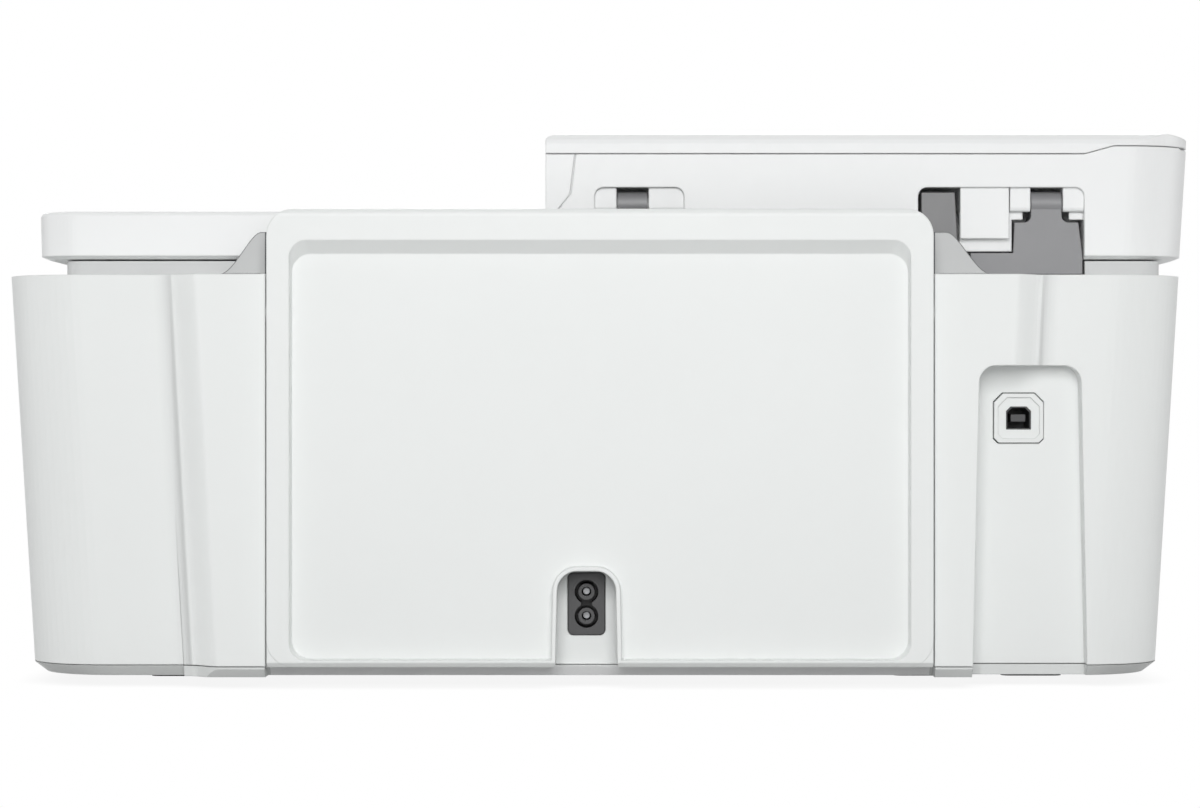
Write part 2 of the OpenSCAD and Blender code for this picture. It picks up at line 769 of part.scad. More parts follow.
module color_latch() {
    latch(bay_x[1]);
}

module drive_belt() {
    color(dark) difference() {
        union() {
            box(-pulley_x, pulley_x, belt_y - belt_half - 0.6, belt_y + belt_half + 0.6, belt_z, belt_z + belt_h);
            for (x = [-pulley_x, pulley_x]) rod_z(belt_z, belt_z + belt_h, [x, belt_y], belt_half + 0.6);
        }
        box(-pulley_x, pulley_x, belt_y - belt_half + 0.6, belt_y + belt_half - 0.6, belt_z - 1, belt_z + belt_h + 1);
        for (x = [-pulley_x, pulley_x]) rod_z(belt_z - 1, belt_z + belt_h + 1, [x, belt_y], belt_half - 0.6);
    }
}

module pulley(x) {
    color(steel) difference() {
        union() {
            rod_z(belt_z - 1.4, belt_z + belt_h + 1.4, [x, belt_y], belt_half - 0.9);
            for (z = [belt_z - 1.6, belt_z + belt_h + 0.6]) rod_z(z, z + 1, [x, belt_y], belt_half + 1.6);
        }
        rod_z(belt_z - 3, belt_z + belt_h + 3, [x, belt_y], 1.5 + run_play);
    }
}

module motor_pulley() {
    pulley(-pulley_x);
}

module idler_pulley() {
    pulley(pulley_x);
}

module carriage_motor() {
    color(steel) {
        rod_z(40, belt_z - 4, [-pulley_x, belt_y], 8.6);
        box(-pulley_x - 8.7, -pulley_x + 8.7, belt_y - 5, belt_y + 16, 64, 66);
        rod_z(belt_z - 4.2, belt_z - 2.2, [-pulley_x, belt_y], 4);
        rod_z(belt_z - 3, belt_z + belt_h + 2, [-pulley_x, belt_y], 1.5);
    }
}

module encoder_strip() {
    color(glass_tint) box(-192, 192, 39.7, 40.1, 85, 92.6);
}

module service_station() {
    color(hinge_grey) difference() {
        union() {
            box(134, 184, -16, 36, 24, 44);
            for (bx = bay_x) plate(carriage_x + bx - 8, carriage_x + bx + 8, 2, 22, 43.9, 50.6, 2);
        }
        for (bx = bay_x) plate(carriage_x + bx - 6, carriage_x + bx + 6, 4, 20, 48, 51, 1);
        box(150, 156, -10, 30, 30, 45);
    }
}

// ---- electronics and ports ----

module main_board() {
    board_y = 126;
    color(board_green) box(-196, -129, board_y, board_y + 1.6, 24, 112);
    color(dark) {
        box(-186, -166, board_y - 2, board_y + eps, 60, 80);
        box(-150, -138, board_y - 1.4, board_y + eps, 44, 56);
        box(-192, -172, board_y + 1.59, board_y + 7, 30, 36);
    }
}

module power_supply() {
    color(dark) difference() {
        box(-62, 78, 64, 124, casing_low + 2, 38);
        for (x = [-50:10:66]) box(x, x + 4, 70, 118, 37, 39);
    }
}

module inlet_face(grow) {
    round_rect(inlet_x - inlet_w / 2 - grow, inlet_x + inlet_w / 2 + grow,
        inlet_z - inlet_h / 2 - grow, inlet_z + inlet_h / 2 + grow, 1.8 + grow);
}

module power_inlet() {
    x0 = inlet_x - inlet_w / 2;
    x1 = inlet_x + inlet_w / 2;
    z0 = inlet_z - inlet_h / 2;
    pin_gap = 8.6;
    color(dark)
    difference() {
        union() {
            back_shape(128, rear_wall_y + 0.6) inlet_face(0);
            box(x0 - 3, x1 + 3, 136, rear_wall_y - 3, z0 - 2, z0 + inlet_h + 2);
        }
        difference() {
            union() {
                for (s = [-0.5, 0.5]) rod_y(138, 152, [inlet_x, inlet_z + s * pin_gap], 4.2);
                box(inlet_x - 2, inlet_x + 2, 138, 152, inlet_z - 2.4, inlet_z + 2.4);
            }
            for (s = [-0.5, 0.5]) rod_y(137, rear_wall_y + 0.2, [inlet_x, inlet_z + s * pin_gap], 2.9);
        }
        for (s = [-0.5, 0.5]) rod_y(139, 152, [inlet_x, inlet_z + s * pin_gap], 1.7);
    }
    color(steel) for (s = [-0.5, 0.5]) rod_y(138, 145, [inlet_x, inlet_z + s * pin_gap], 1.2);
}

// eight-sided bezel with larger cuts at its upper corners
module usb_plate(inset) {
    h = usb_bezel / 2 - inset;
    top_cut = 3.2;
    low_cut = 1.6;
    polygon([[usb_x - h, usb_z - h + low_cut], [usb_x - h + low_cut, usb_z - h],
        [usb_x + h - low_cut, usb_z - h], [usb_x + h, usb_z - h + low_cut],
        [usb_x + h, usb_z + h - top_cut], [usb_x + h - top_cut, usb_z + h],
        [usb_x - h + top_cut, usb_z + h], [usb_x - h, usb_z + h - top_cut]]);
}

module usb_port() {
    color(ear_grey)
    difference() {
        back_shape(usb_floor - 3.6, usb_floor + 1.2) usb_plate(0);
        back_shape(usb_floor + 0.4, usb_floor + 2) usb_plate(1.4);
        back_shape(usb_floor - 5, usb_floor + 2) usb_flat(0);
    }
    color(dark) {
        difference() {
            back_shape(128, usb_floor + 0.2) usb_flat(0);
            back_shape(130, usb_floor + 2) usb_flat(-0.5);
        }
        box(usb_x - 2.6, usb_x + 2.6, 129, usb_floor - 1, usb_z - 1.3, usb_z + 1.3);
    }
}

module usb_flat(grow) {
    w = 4.45 + grow;
    h = 4.1 + grow;
    polygon([[usb_x - w, usb_z - h], [usb_x + w, usb_z - h], [usb_x + w, usb_z + h - 1.6],
        [usb_x + w - 1.6, usb_z + h], [usb_x - w + 1.6, usb_z + h], [usb_x - w, usb_z + h - 1.6]]);
}

// ---- scanner ----

neck_top = lid_low - gap;
glass_left = -136;
glass_right = 172;
glass_front = -112;
glass_rear = 106;
glass_t = 2;
strip_left = -180;
strip_right = -156;
hinge_a = [-17.3, -6.4];
hinge_b = [-168.1, -157];

module scanner_frame() {
    tub_low = 118;
    color(white)
    difference() {
        union() {
            plate(tub_left, tub_right, tub_front, tub_rear, tub_low, neck_top, 6);
            plate(tub_left, tub_right, tub_front, tub_rear + 2.4, casing_top + gap, neck_top, 6);
        }
        difference() {
            box(tub_left + wall, tub_right - wall, tub_front + wall, tub_rear - wall, tub_low + wall,
                neck_top - wall);
            for (b = [hinge_a, hinge_b]) box(b[0] - 12, b[1] + 25, 104, 120, 130, 146);
        }
        // windows and glass rabbets
        box(glass_left + 3, glass_right - 3, glass_front + 3, glass_rear - 3, 140, 160);
        box(glass_left, glass_right, glass_front, glass_rear, neck_top - glass_t - 0.3, 160);
        box(strip_left + 3, strip_right - 3, glass_front + 3, glass_rear - 3, 140, 160);
        box(strip_left, strip_right, glass_front, glass_rear, neck_top - glass_t - 0.3, 160);
        // lower strip under the turning lid edge, and hinge seats
        box(tub_left - 1, tub_right + 1, 110, 130, neck_top - gap, 160);
        for (b = [hinge_a, hinge_b]) hinge_seat(b, gap, 146);
    }
}

module hinge_seat(b, grow, z0) {
    box(b[0] - 8.2 - grow, b[1] + 22.2 + grow, 107 - grow, 121 + grow, z0, 160);
}

module scan_glass() {
    color(glass_tint) box(glass_left + gap, glass_right - gap, glass_front + gap, glass_rear - gap,
        neck_top - glass_t - 0.2, neck_top - 0.2);
    color(glass_tint) box(strip_left + gap, strip_right - gap, glass_front + gap, glass_rear - gap,
        neck_top - glass_t - 0.2, neck_top - 0.2);
}

scan_rod_at = [-2, 129];

module scan_bar() {
    x0 = -178;
    color(dark) difference() {
        union() {
            box(x0, x0 + 20, -108, 100, 135, 145);
            box(x0, x0 + 20, -14, 10, 124, 136);
        }
        rod_x(x0 - 1, x0 + 21, scan_rod_at, rod_r + run_play);
        box(x0 + 8, x0 + 12, -104, 96, 144, 146);
    }
    color(glass_tint) box(x0 + 8, x0 + 12, -104, 96, 143.9, 144.8);
}

// ---- lid ----

cut_top = 178.8;
cut_a = [-30.6, 2];
cut_b = [-176.1, -115.6];
hump_in_right = hump_right - 4;

// lid outline: each ring is [height, inset]; the ends lean in toward the bottom
module lid_block(rings) {
    lean_l = 2.6;
    lean_r = 1.1;
    hull() {
        for (s = rings) {
            drop = max(0, (seam_high - s[0]) / (seam_high - lid_low));
            for (c = [[lid_left + lean_l * drop, 24, 1], [lid_right - lean_r * drop, 15, -1]],
                y = [[front_y, 1], [lid_rear, -1]])
                translate([c[0] + c[2] * c[1], y[0] + y[1] * c[1], s[0]]) cylinder(h = eps, r = c[1] - s[1]);
        }
    }
}

module lid_base() {
    plate_z = lid_low + 4;
    color(white)
    difference() {
        union() {
            lid_block([[lid_low, 3], [lid_low + 1.2, 0], [lid_top - 1.6, 0], [lid_top - 0.6, 0.5],
                [lid_top - eps, 1.6]]);
            difference() {
                intersection() {
                    lid_block([[lid_low, 3], [lid_low + 1.2, 0], [seam_high, 0]]);
                    back_shape(front_y - 1, lid_rear + 1) polygon([[lid_left - 2, lid_low], [hump_right, lid_low],
                        [hump_right, seam_z - gap], [-176, seam_z - gap], [-186.7, seam_high - gap],
                        [lid_left + 5, seam_high - gap], [lid_left + 3.5, seam_high - 0.9],
                        [lid_left - 2, seam_high - 0.9]]);
                }
                translate([0, 0, plate_z]) linear_extrude(42) round_rect(lid_left + 2.6 + wall,
                    hump_in_right - 8, front_y + wall, lid_rear - wall, 20 - wall);
                box(-20, hump_right + 1, front_y + 12, lid_rear - 12, lid_top, 200);
            }
            // hinge blocks beside the cut-outs
            box(cut_a[0] - 3, cut_a[1] + 3, 101, lid_rear - 1, lid_low + 1, cut_top + 3);
            box(cut_b[0] - 3, cut_b[1] + 3, 101, lid_rear - 1, lid_low + 1, cut_top + 3);
            cover_posts();
        }
        // bores for the roller shafts
        for (at = [drum_at, doc_pick_at, doc_exit_at]) rod_y(-130, 99.6, at, shaft_r + run_play);
        // hollow under the low half and inside the feeder
        plate(32, lid_right - 2.4, front_y + wall + 4, 98, lid_low + 3.4, lid_top - 2.2, 8);
        translate([0, 0, plate_z]) linear_extrude(lid_top - plate_z + 1) round_rect(lid_left + 2.6 + wall,
            -24, front_y + wall, 98, 20 - wall);
        // joint line of the document tray's side wall
        back_shape(lid_rear - 0.7, lid_rear + 1) polygon([[8.7, seam_z], [10.5, 176.2], [13.7, 172.2],
            [16.5, lid_top - 1], [17, lid_top - 1], [14.2, 172.2], [11, 176.2], [9.2, seam_z]]);
        // slot over the feeder glass and room for the backing pad
        box(strip_left + 2, strip_right - 2, glass_front + 4, glass_rear - 8, lid_low - 1, plate_z + 1);
        box(glass_left + 1, glass_right + 1, glass_front - 1, glass_rear - 4, lid_low - 1, lid_low + 2.2);
        // hinge cut-outs, open to the rear and below
        for (c = [cut_a, cut_b]) hinge_cut(c);
    }
    feeder_ribs();
    color(white) {
        hinge_cheeks(cut_a[0] - 0.5, hinge_a[0] - 0.4);
        hinge_cheeks(hinge_a[1] + 0.4, cut_a[1] + 0.5);
        hinge_cheeks(cut_b[0] - 0.5, hinge_b[0] - 0.4);
        hinge_cheeks(hinge_b[1] + 0.4, -149.2);
        hinge_cheeks(-148.8, -131.1);
        // cover plate and the inner wall seen round the hinge
        box(-148.8, -131.1, 120.6, 122.4, 160.2, cut_top + 0.5);
        box(-150.1, -131.1, 117.5, 119.5, 155.6, 172);
        box(-154.1, -149.4, 117.5, 119.5, 167.2, 172);
        box(cut_b[0] - 0.4, hinge_b[0] - 2.9, 117.5, 119.5, 167.2, 172);
    }
    color(steel) for (b = [hinge_a, hinge_b]) rod_x(b[0] - 1, b[1] + 1, [hinge_y, hinge_z], hinge_r);
}

// side plates of the feeder: they carry the shafts and the document tray
module feeder_ribs() {
    color(white) {
        difference() {
            for (y = [rib_front, rib_rear]) back_shape(y[0], y[1])
                polygon([[-196, 155.4], [-196, 184], [-184, 189], [-114, 189], [-114, 175.6], [16, 175.6],
                    [16, lid_top - 1], [-24.5, lid_top - 1], [-24.5, 155.4]]);
            for (at = [drum_at, doc_pick_at, doc_exit_at]) rod_y(-130, 99.6, at, shaft_r + run_play);
        }
        rod_y(doc_gear_y - 0.6, rib_rear[0] + 1, exit_idler_at, 1.5);
        rod_y(rib_front[1] - 1, doc_front_y + doc_gear_w + 0.6, pick_idler2_at, 1.5);
        box(doc_motor_at[0] - 6, doc_motor_at[0] + 6, 62, 84, 155.4, doc_motor_at[1] - doc_motor_r - gap);
    }
}

module hinge_cut(c) {
    r = 3.4;
    back_shape(104, lid_rear + 1) union() {
        translate([c[0], lid_low - 1]) square([c[1] - c[0], cut_top - r - lid_low + 1]);
        translate([c[0] + r, cut_top - r - 1]) square([c[1] - c[0] - 2 * r, r + 1]);
        for (x = [c[0] + r, c[1] - r]) translate([x, cut_top - r]) circle(r);
    }
}

module hinge_cheeks(x0, x1) {
    side_shape(x0, x1)
        polygon([[103, cut_top + 0.5], [103, 171.5], [112, 170.2], [121, 170], [121.7, 170.4], [122, 171.4],
            [122, cut_top + 0.5]]);
}

post_y = [[-106, -100], [60, 66]];

module cover_posts() {
    for (p = post_y) {
        difference() {
            union() {
                box(lid_left + 0.4, lid_left + 3.2, p[0], p[1], 186, hinge_rod_z);
                rod_y(p[0], p[1], [hinge_rod_x, hinge_rod_z], 1.6);
            }
            rod_y(p[0] - 1, p[1] + 1, [hinge_rod_x, hinge_rod_z], 0.9 + run_play);
        }
    }
}

// top outline of the feeder cover, from the hinge end to the paper end
function crown(x0, x1) = [[x1, hump_top - 3.6], [x1 - 1, hump_top - 2.6], [x1 - 4, hump_top - 1.5],
    [x1 - 10, hump_top - 0.7], [x1 - 20, hump_top - 0.2], [x1 - 32, hump_top], [x0 + 34, hump_top],
    [x0 + 24, hump_top - 0.3], [x0 + 15, hump_top - 1], [x0 + 7, hump_top - 2], [x0 + 1.2, hump_top - 3],
    [x0, hump_top - 4]];

module feeder_cover() {
    shell = 2.4;
    color(white) {
        difference() {
            intersection() {
                lid_block([[seam_z, 0], [seam_high + 2.4, 0], [hump_top, 0]]);
                back_shape(front_y, lid_rear) polygon(concat([[lid_left - 1, seam_high],
                    [-187, seam_high], [-176.3, seam_z], [hump_right, seam_z]],
                    crown(lid_left - 1, hump_right)));
                side_shape(lid_left - 1, hump_right + 1) polygon([[front_y, seam_z - 1], [front_y, hump_top - 5.4],
                    [front_y + 0.8, hump_top - 3.6], [front_y + 3, hump_top - 2], [front_y + 8, hump_top - 0.7],
                    [front_y + 16, hump_top], [lid_rear - 16, hump_top], [lid_rear - 8, hump_top - 0.7],
                    [lid_rear - 3, hump_top - 2], [lid_rear - 0.8, hump_top - 3.6], [lid_rear, hump_top - 5.4],
                    [lid_rear, seam_z - 1]]);
            }
            translate([0, 0, seam_z - 1]) linear_extrude(hump_top - seam_z + 1 - shell - 3)
                round_rect(lid_left + 2.6 + shell, hump_right - shell, front_y + shell, lid_rear - shell,
                    20 - shell);
            for (p = post_y) box(lid_left - 1, lid_left + 5, p[0] - gap, p[1] + gap, seam_z - 1, 210);
        }
        for (p = post_y) rod_y(p[0] - 3, p[1] + 3, [hinge_rod_x, hinge_rod_z], 0.9);
    }
}

module backing_pad() {
    color(white) plate(glass_left + 2, glass_right, glass_front, glass_rear - 5, lid_low - 0.2, lid_low + 1.9, 3);
}

// ---- document feeder ----

guide_left = -63;
guide_right = -39;
rack_module = 0.8;
rack_teeth = 12;
rack_pitch = PI * rack_module;
rack_r = rack_teeth * rack_module / 2;
rack_mid = -51;
rack_z = doc_plate_z + doc_plate_t - 1.2;
guide_half = 108.6;

module document_tray() {
    left = -112;
    color(ear_grey)
    difference() {
        box(left, hump_right - 1, rib_front[1] + gap, rib_rear[0] - gap, doc_plate_z, doc_plate_z + doc_plate_t);
        box(-37, hump_right, doc_mid_y - 30, doc_mid_y + 30, rack_z, doc_plate_z + 5);
        box(guide_left, guide_right, rib_front[1] + 2, rib_rear[0] - 2, rack_z, doc_plate_z + 5);
        rod_z(doc_plate_z - 1, doc_plate_z + 5, [rack_mid, doc_mid_y], 1.5 + run_play);
    }
}

module document_extender() {
    color(ear_grey) {
        box(-36, hump_right - 1.4, doc_mid_y - 29.6, doc_mid_y + 29.6, rack_z + 0.1, rack_z + 1.1);
        box(hump_right - 4, hump_right - 1.4, doc_mid_y - 8, doc_mid_y + 8, rack_z + 1, rack_z + 4);
    }
}

// rack along Y whose teeth point to +X; its pitch line is x = 0
module rack_flat(y0, y1, shift) {
    half = rack_pitch / 4 - 0.06;
    slope = tan(20);
    up = 0.7 * rack_module;
    down = 1.1 * rack_module;
    polygon(concat([[-5, y1], [-5, y0]], [[-down, y0]],
        [for (k = [ceil((y0 - shift) / rack_pitch + 0.5):floor((y1 - shift) / rack_pitch - 0.5)])
            for (p = [[-down, -half - down * slope], [up, -half + up * slope], [up, half - up * slope],
                [-down, half + down * slope]]) [p[0], p[1] + shift + k * rack_pitch]], [[-down, y1]]));
}

module document_guide(side) {
    z0 = rack_z + 0.1;
    top_z = doc_plate_z + doc_plate_t + 0.3;
    y0 = doc_mid_y + side * guide_half;
    far = doc_mid_y - side * 9;
    color(ear_grey) {
        box(-62, -2, min(y0, y0 + side * 2), max(y0, y0 + side * 2), top_z, top_z + 11);
        box(-62, -40, min(y0 - side * 4, y0), max(y0 - side * 4, y0), top_z, top_z + 1.2);
        box(side > 0 ? -44 : -62, side > 0 ? -40 : -58, min(y0 - side * 4, y0 - side * 8),
            max(y0 - side * 4, y0 - side * 8), z0, top_z + 1.2);
        // one rack on each side of the pinion
        translate([rack_mid + side * rack_r, 0, z0]) mirror([side > 0 ? 1 : 0, 0, 0]) linear_extrude(1)
            rack_flat(min(far, y0 - side * 4), max(far, y0 - side * 4), doc_mid_y + rack_pitch / 2);
    }
}

module front_document_guide() {
    document_guide(-1);
}

module rear_document_guide() {
    document_guide(1);
}

module guide_pinion() {
    color(gear_white) translate([rack_mid, doc_mid_y, 0]) {
        translate([0, 0, rack_z + 0.1]) linear_extrude(1) gear_flat(rack_teeth, rack_module);
        rod_z(doc_plate_z, rack_z + 0.5, [0, 0], 1.5);
    }
}

drum_a = 0;
doc_idler_span = (doc_teeth + doc_idler_teeth) * doc_module / 2;
exit_phi = atan2(doc_exit_at[1] - drum_at[1], doc_exit_at[0] - drum_at[0]);
exit_idler_at = drum_at + doc_idler_span * [cos(exit_phi), sin(exit_phi)];
exit_idler_a = meshed(drum_a, doc_teeth, doc_idler_teeth, exit_phi);
doc_exit_a = meshed(exit_idler_a, doc_idler_teeth, doc_small_teeth, exit_phi);
lift_phi = atan2(doc_pick_at[1] - drum_at[1], doc_pick_at[0] - drum_at[0]);
pick_idler2_at = drum_at + doc_idler_span * [cos(lift_phi), sin(lift_phi)];
pick_idler2_a = meshed(drum_a, doc_teeth, doc_idler_teeth, lift_phi);
doc_pick_a = meshed(pick_idler2_a, doc_idler_teeth, doc_small_teeth, lift_phi);
doc_motor_phi = 160;
doc_motor_r = 8;
doc_motor_at = drum_at + (doc_teeth + pinion_teeth) * doc_module / 2 * [cos(doc_motor_phi), sin(doc_motor_phi)];
doc_motor_a = meshed(drum_a, doc_teeth, pinion_teeth, doc_motor_phi);
shaft_rear = 99.2;
shaft_front = -124;

module document_drum() {
    color(rubber_grey) for (y = [-82, -22, 38]) rod_y(y - 14, y + 14, drum_at, drum_r);
    color(gear_white) {
        rod_y(shaft_front, shaft_rear, drum_at, shaft_r);
        gear_y_at(drum_at, doc_teeth, doc_module, doc_gear_y, doc_gear_w, drum_a);
        gear_y_at(drum_at, doc_teeth, doc_module, doc_front_y, doc_gear_w, drum_a);
    }
}

module document_exit_roller() {
    color(rubber_grey) for (y = [-72, 48]) rod_y(y - 10, y + 10, doc_exit_at, doc_exit_r);
    color(gear_white) {
        rod_y(shaft_front, shaft_rear, doc_exit_at, shaft_r);
        gear_y_at(doc_exit_at, doc_small_teeth, doc_module, doc_gear_y, doc_gear_w, doc_exit_a);
    }
}

module document_pick_roller() {
    color(rubber_grey) rod_y(doc_mid_y - 14, doc_mid_y + 14, doc_pick_at, doc_pick_r);
    color(gear_white) {
        rod_y(shaft_front, shaft_rear, doc_pick_at, shaft_r);
        gear_y_at(doc_pick_at, doc_small_teeth, doc_module, doc_front_y, doc_gear_w, doc_pick_a);
    }
}

module idler_y(at, y, a) {
    color(gear_white) difference() {
        gear_y_at(at, doc_idler_teeth, doc_module, y, doc_gear_w, a);
        rod_y(y - 1, y + doc_gear_w + 1, at, 1.5 + run_play);
    }
}

module document_exit_gear() {
    idler_y(exit_idler_at, doc_gear_y, exit_idler_a);
}

module document_pick_gear() {
    idler_y(pick_idler2_at, doc_front_y, pick_idler2_a);
}

module feeder_pinion() {
    color(gear_white) difference() {
        gear_y_at(doc_motor_at, pinion_teeth, doc_module, doc_gear_y, doc_gear_w, doc_motor_a);
        rod_y(doc_gear_y - 1, doc_gear_y + doc_gear_w + 1, doc_motor_at, 1 + run_play);
    }
}

module feeder_motor() {
    color(steel) {
        rod_y(60, 87, doc_motor_at, doc_motor_r);
        rod_y(86, doc_gear_y + doc_gear_w, doc_motor_at, 1);
    }
}

// ---- hinges ----

module hinge_bracket(b, wide, foot) {
    base_z = 147.3;
    fillet = 2.6;
    waist = hinge_z - 6.9;
    difference() {
        union() {
            side_shape(b[0], b[1]) union() {
                polygon([[108, base_z], [121, base_z], [121, hinge_z - 2], [hinge_y + 4.4, hinge_z],
                    [hinge_y - 4.4, hinge_z], [108, 161]]);
                translate([hinge_y, hinge_z]) circle(4.5);
            }
            back_shape(108, 121) difference() {
                polygon([[foot[0], base_z], [foot[1], base_z], [foot[1], 155], [wide[1] + 0.5, 155],
                    [wide[1], waist], [b[1] + fillet, waist], [b[1] + fillet, waist + fillet],
                    [b[0] - fillet, waist + fillet], [b[0] - fillet, waist], [wide[0], waist],
                    [wide[0] - 1.4, 155], [foot[0], 154]]);
                for (x = [b[0] - fillet, b[1] + fillet]) translate([x, waist + fillet]) circle(fillet);
            }
        }
        rod_x(b[0] - 1, b[1] + 1, [hinge_y, hinge_z], hinge_r + run_play);
    }
}

module lid_hinges() {
    color(hinge_grey) {
        hinge_bracket(hinge_a, [hinge_a[0] - 6, hinge_a[1] + 5], [hinge_a[0] - 6.8, hinge_a[1] + 6]);
        hinge_bracket(hinge_b, [hinge_b[0] - 6.1, hinge_b[1] + 6], [hinge_b[0] - 7.6, hinge_b[1] + 22]);
    }
}

module cable_channel() {
    color(hinge_grey) difference() {
        back_shape(104 + gap, 121) polygon([[-130.4, 153.8], [-117.1, 153.8], [-117.1, 177], [-129.2, 177]]);
        box(-128, -118.6, 106, 119, 152, 175.6);
    }
}

// ---- front ----

module control_panel() {
    color(black_gloss)
    difference() {
        plate_front(panel_left, panel_left + panel_w, panel_low, panel_high, front_y + 0.8, front_y + 6, 3);
        box(panel_left + 8, panel_left + panel_w - 8, front_y - 1, front_y + 3.2, 102, 134);
        for (x = button_x) rod_y(front_y - 1, front_y + 8, [x, 84], button_r + gap);
    }
}

module plate_front(x0, x1, z0, z1, y0, y1, r) {
    back_shape(y0, y1) round_rect(x0, x1, z0, z1, r);
}

button_x = [panel_left + 20, panel_left + 45, panel_left + 70];

module display_window() {
    color([0.1, 0.12, 0.14]) box(panel_left + 8 + gap, panel_left + panel_w - 8 - gap, front_y + 1,
        front_y + 3, 102 + gap, 134 - gap);
}

module button(i) {
    color(ear_grey) difference() {
        rod_y(front_y, front_y + 7.4, [button_x[i], 84], button_r);
        rod_y(front_y - 1, front_y + 0.3, [button_x[i], 84], 1.4 + i * 0.6);
    }
}

module button_1() {
    button(0);
}

module button_2() {
    button(1);
}

module button_3() {
    button(2);
}

module cartridge_door() {
    pin_z = panel_low + 2.6;
    pin_y = front_y + 2.6;
    color(white) {
        difference() {
            plate_front(door_left, door_right, pin_z, panel_high, front_y, front_y + 3, 2);
            for (x = [door_left + 30, door_right - 30]) plate_front(x - 16, x + 16, 132, 138, front_y - 1,
                front_y + 1.2, 2.5);
        }
        rod_x(door_left, door_right, [pin_y, pin_z], 2.4);
        rod_x(door_left - 3, door_right + 3, [pin_y, pin_z], 1.3);
        for (x = [door_left + 12:34:door_right - 8]) box(x, x + 1.6, front_y + 2.9, front_y + 5, 70, 136);
    }
}

module output_tray() {
    y1 = front_y + 0.5 + out_deep;
    color(ear_grey)
    difference() {
        union() {
            box(-out_half, out_half, front_y + 2, y1, 14, 17);
            plate_front(-out_half, out_half, 10, 22, front_y + 0.5, front_y + 4, 3);
        }
        box(-31, 31, front_y + 5, front_y + 42, 15.4, 18);
        rod_x(-33, 33, [front_y + 8, 16.6], 1.1 + run_play);
    }
}

module tray_stop() {
    color(ear_grey) {
        box(-30.6, 30.6, front_y + 8, front_y + 41, 15.8, 17.6);
        rod_x(-32.4, 32.4, [front_y + 8, 16.6], 1.1);
    }
}

// puts the middle of the footprint at zero
module place() {
    translate([frame_shift, 0, 0]) children();
}

place() outer_casing();
place() base_pan();
place() foot_pads();
place() paper_bay();
place() input_tray();
place() paper_width_guide();
place() print_frame();
place() pick_roller();
place() feed_roller();
place() eject_roller();
place() pinch_rollers();
place() pick_idler_gear();
place() eject_idler_gear();
place() motor_pinion();
place() feed_motor();
place() platen();
place() guide_rods();
place() carriage();
place() black_cartridge();
place() color_cartridge();
place() black_latch();
place() color_latch();
place() drive_belt();
place() motor_pulley();
place() idler_pulley();
place() carriage_motor();
place() encoder_strip();
place() service_station();
place() main_board();
place() power_supply();
place() power_inlet();
place() usb_port();
place() scanner_frame();
place() scan_glass();
place() scan_bar();
place() lid_base();
place() backing_pad();
place() feeder_cover();
place() document_tray();
place() document_extender();
place() front_document_guide();
place() rear_document_guide();
place() document_pick_roller();
place() document_drum();
place() document_exit_roller();
place() document_exit_gear();
place() document_pick_gear();
place() guide_pinion();
place() feeder_pinion();
place() feeder_motor();
place() lid_hinges();
place() cable_channel();
place() control_panel();
place() display_window();
place() button_1();
place() button_2();
place() button_3();
place() cartridge_door();
place() output_tray();
place() tray_stop();
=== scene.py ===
import bpy
import bmesh
import json
import math
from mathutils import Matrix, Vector


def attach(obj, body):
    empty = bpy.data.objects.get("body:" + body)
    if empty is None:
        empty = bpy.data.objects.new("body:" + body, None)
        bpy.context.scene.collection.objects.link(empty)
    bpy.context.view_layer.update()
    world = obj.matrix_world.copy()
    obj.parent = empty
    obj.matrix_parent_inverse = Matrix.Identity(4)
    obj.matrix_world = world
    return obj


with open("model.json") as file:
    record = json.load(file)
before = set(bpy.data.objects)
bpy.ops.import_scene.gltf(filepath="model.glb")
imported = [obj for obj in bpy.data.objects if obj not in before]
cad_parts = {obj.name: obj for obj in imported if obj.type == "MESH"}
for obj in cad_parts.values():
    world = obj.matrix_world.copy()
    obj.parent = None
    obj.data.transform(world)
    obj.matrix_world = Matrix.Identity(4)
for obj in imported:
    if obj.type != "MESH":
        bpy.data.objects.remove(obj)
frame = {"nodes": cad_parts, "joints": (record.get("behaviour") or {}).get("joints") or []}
nodes = frame["nodes"]
joints = {joint["name"]: joint for joint in frame["joints"]}
mm = 0.001  # the frame is in metres, and the sizes below are in mm


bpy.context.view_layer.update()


def toLinear(hexColour):
    # "#rrggbb" as seen on screen to scene-linear
    value = hexColour.lstrip("#")
    out = []
    for k in (0, 2, 4):
        c = int(value[k:k + 2], 16) / 255
        out.append(c / 12.92 if c <= 0.04045 else ((c + 0.055) / 1.055) ** 2.4)
    return (*out, 1.0)


def addNode(tree, kind, settings=None, links=None, label=None):
    # settings: attribute or input name to value; links: input name to an output socket
    node = tree.nodes.new(kind)
    for key, value in (settings or {}).items():
        if isinstance(key, str) and hasattr(node, key) and not key[0].isupper():
            setattr(node, key, value)
        else:
            node.inputs[key].default_value = value
    for key, socket in (links or {}).items():
        tree.links.new(socket, node.inputs[key])
    if label:
        node.label = label
    return node


def newMaterial(name):
    material = bpy.data.materials.new(name)
    material.use_nodes = True
    tree = material.node_tree
    tree.nodes.clear()
    return material, tree


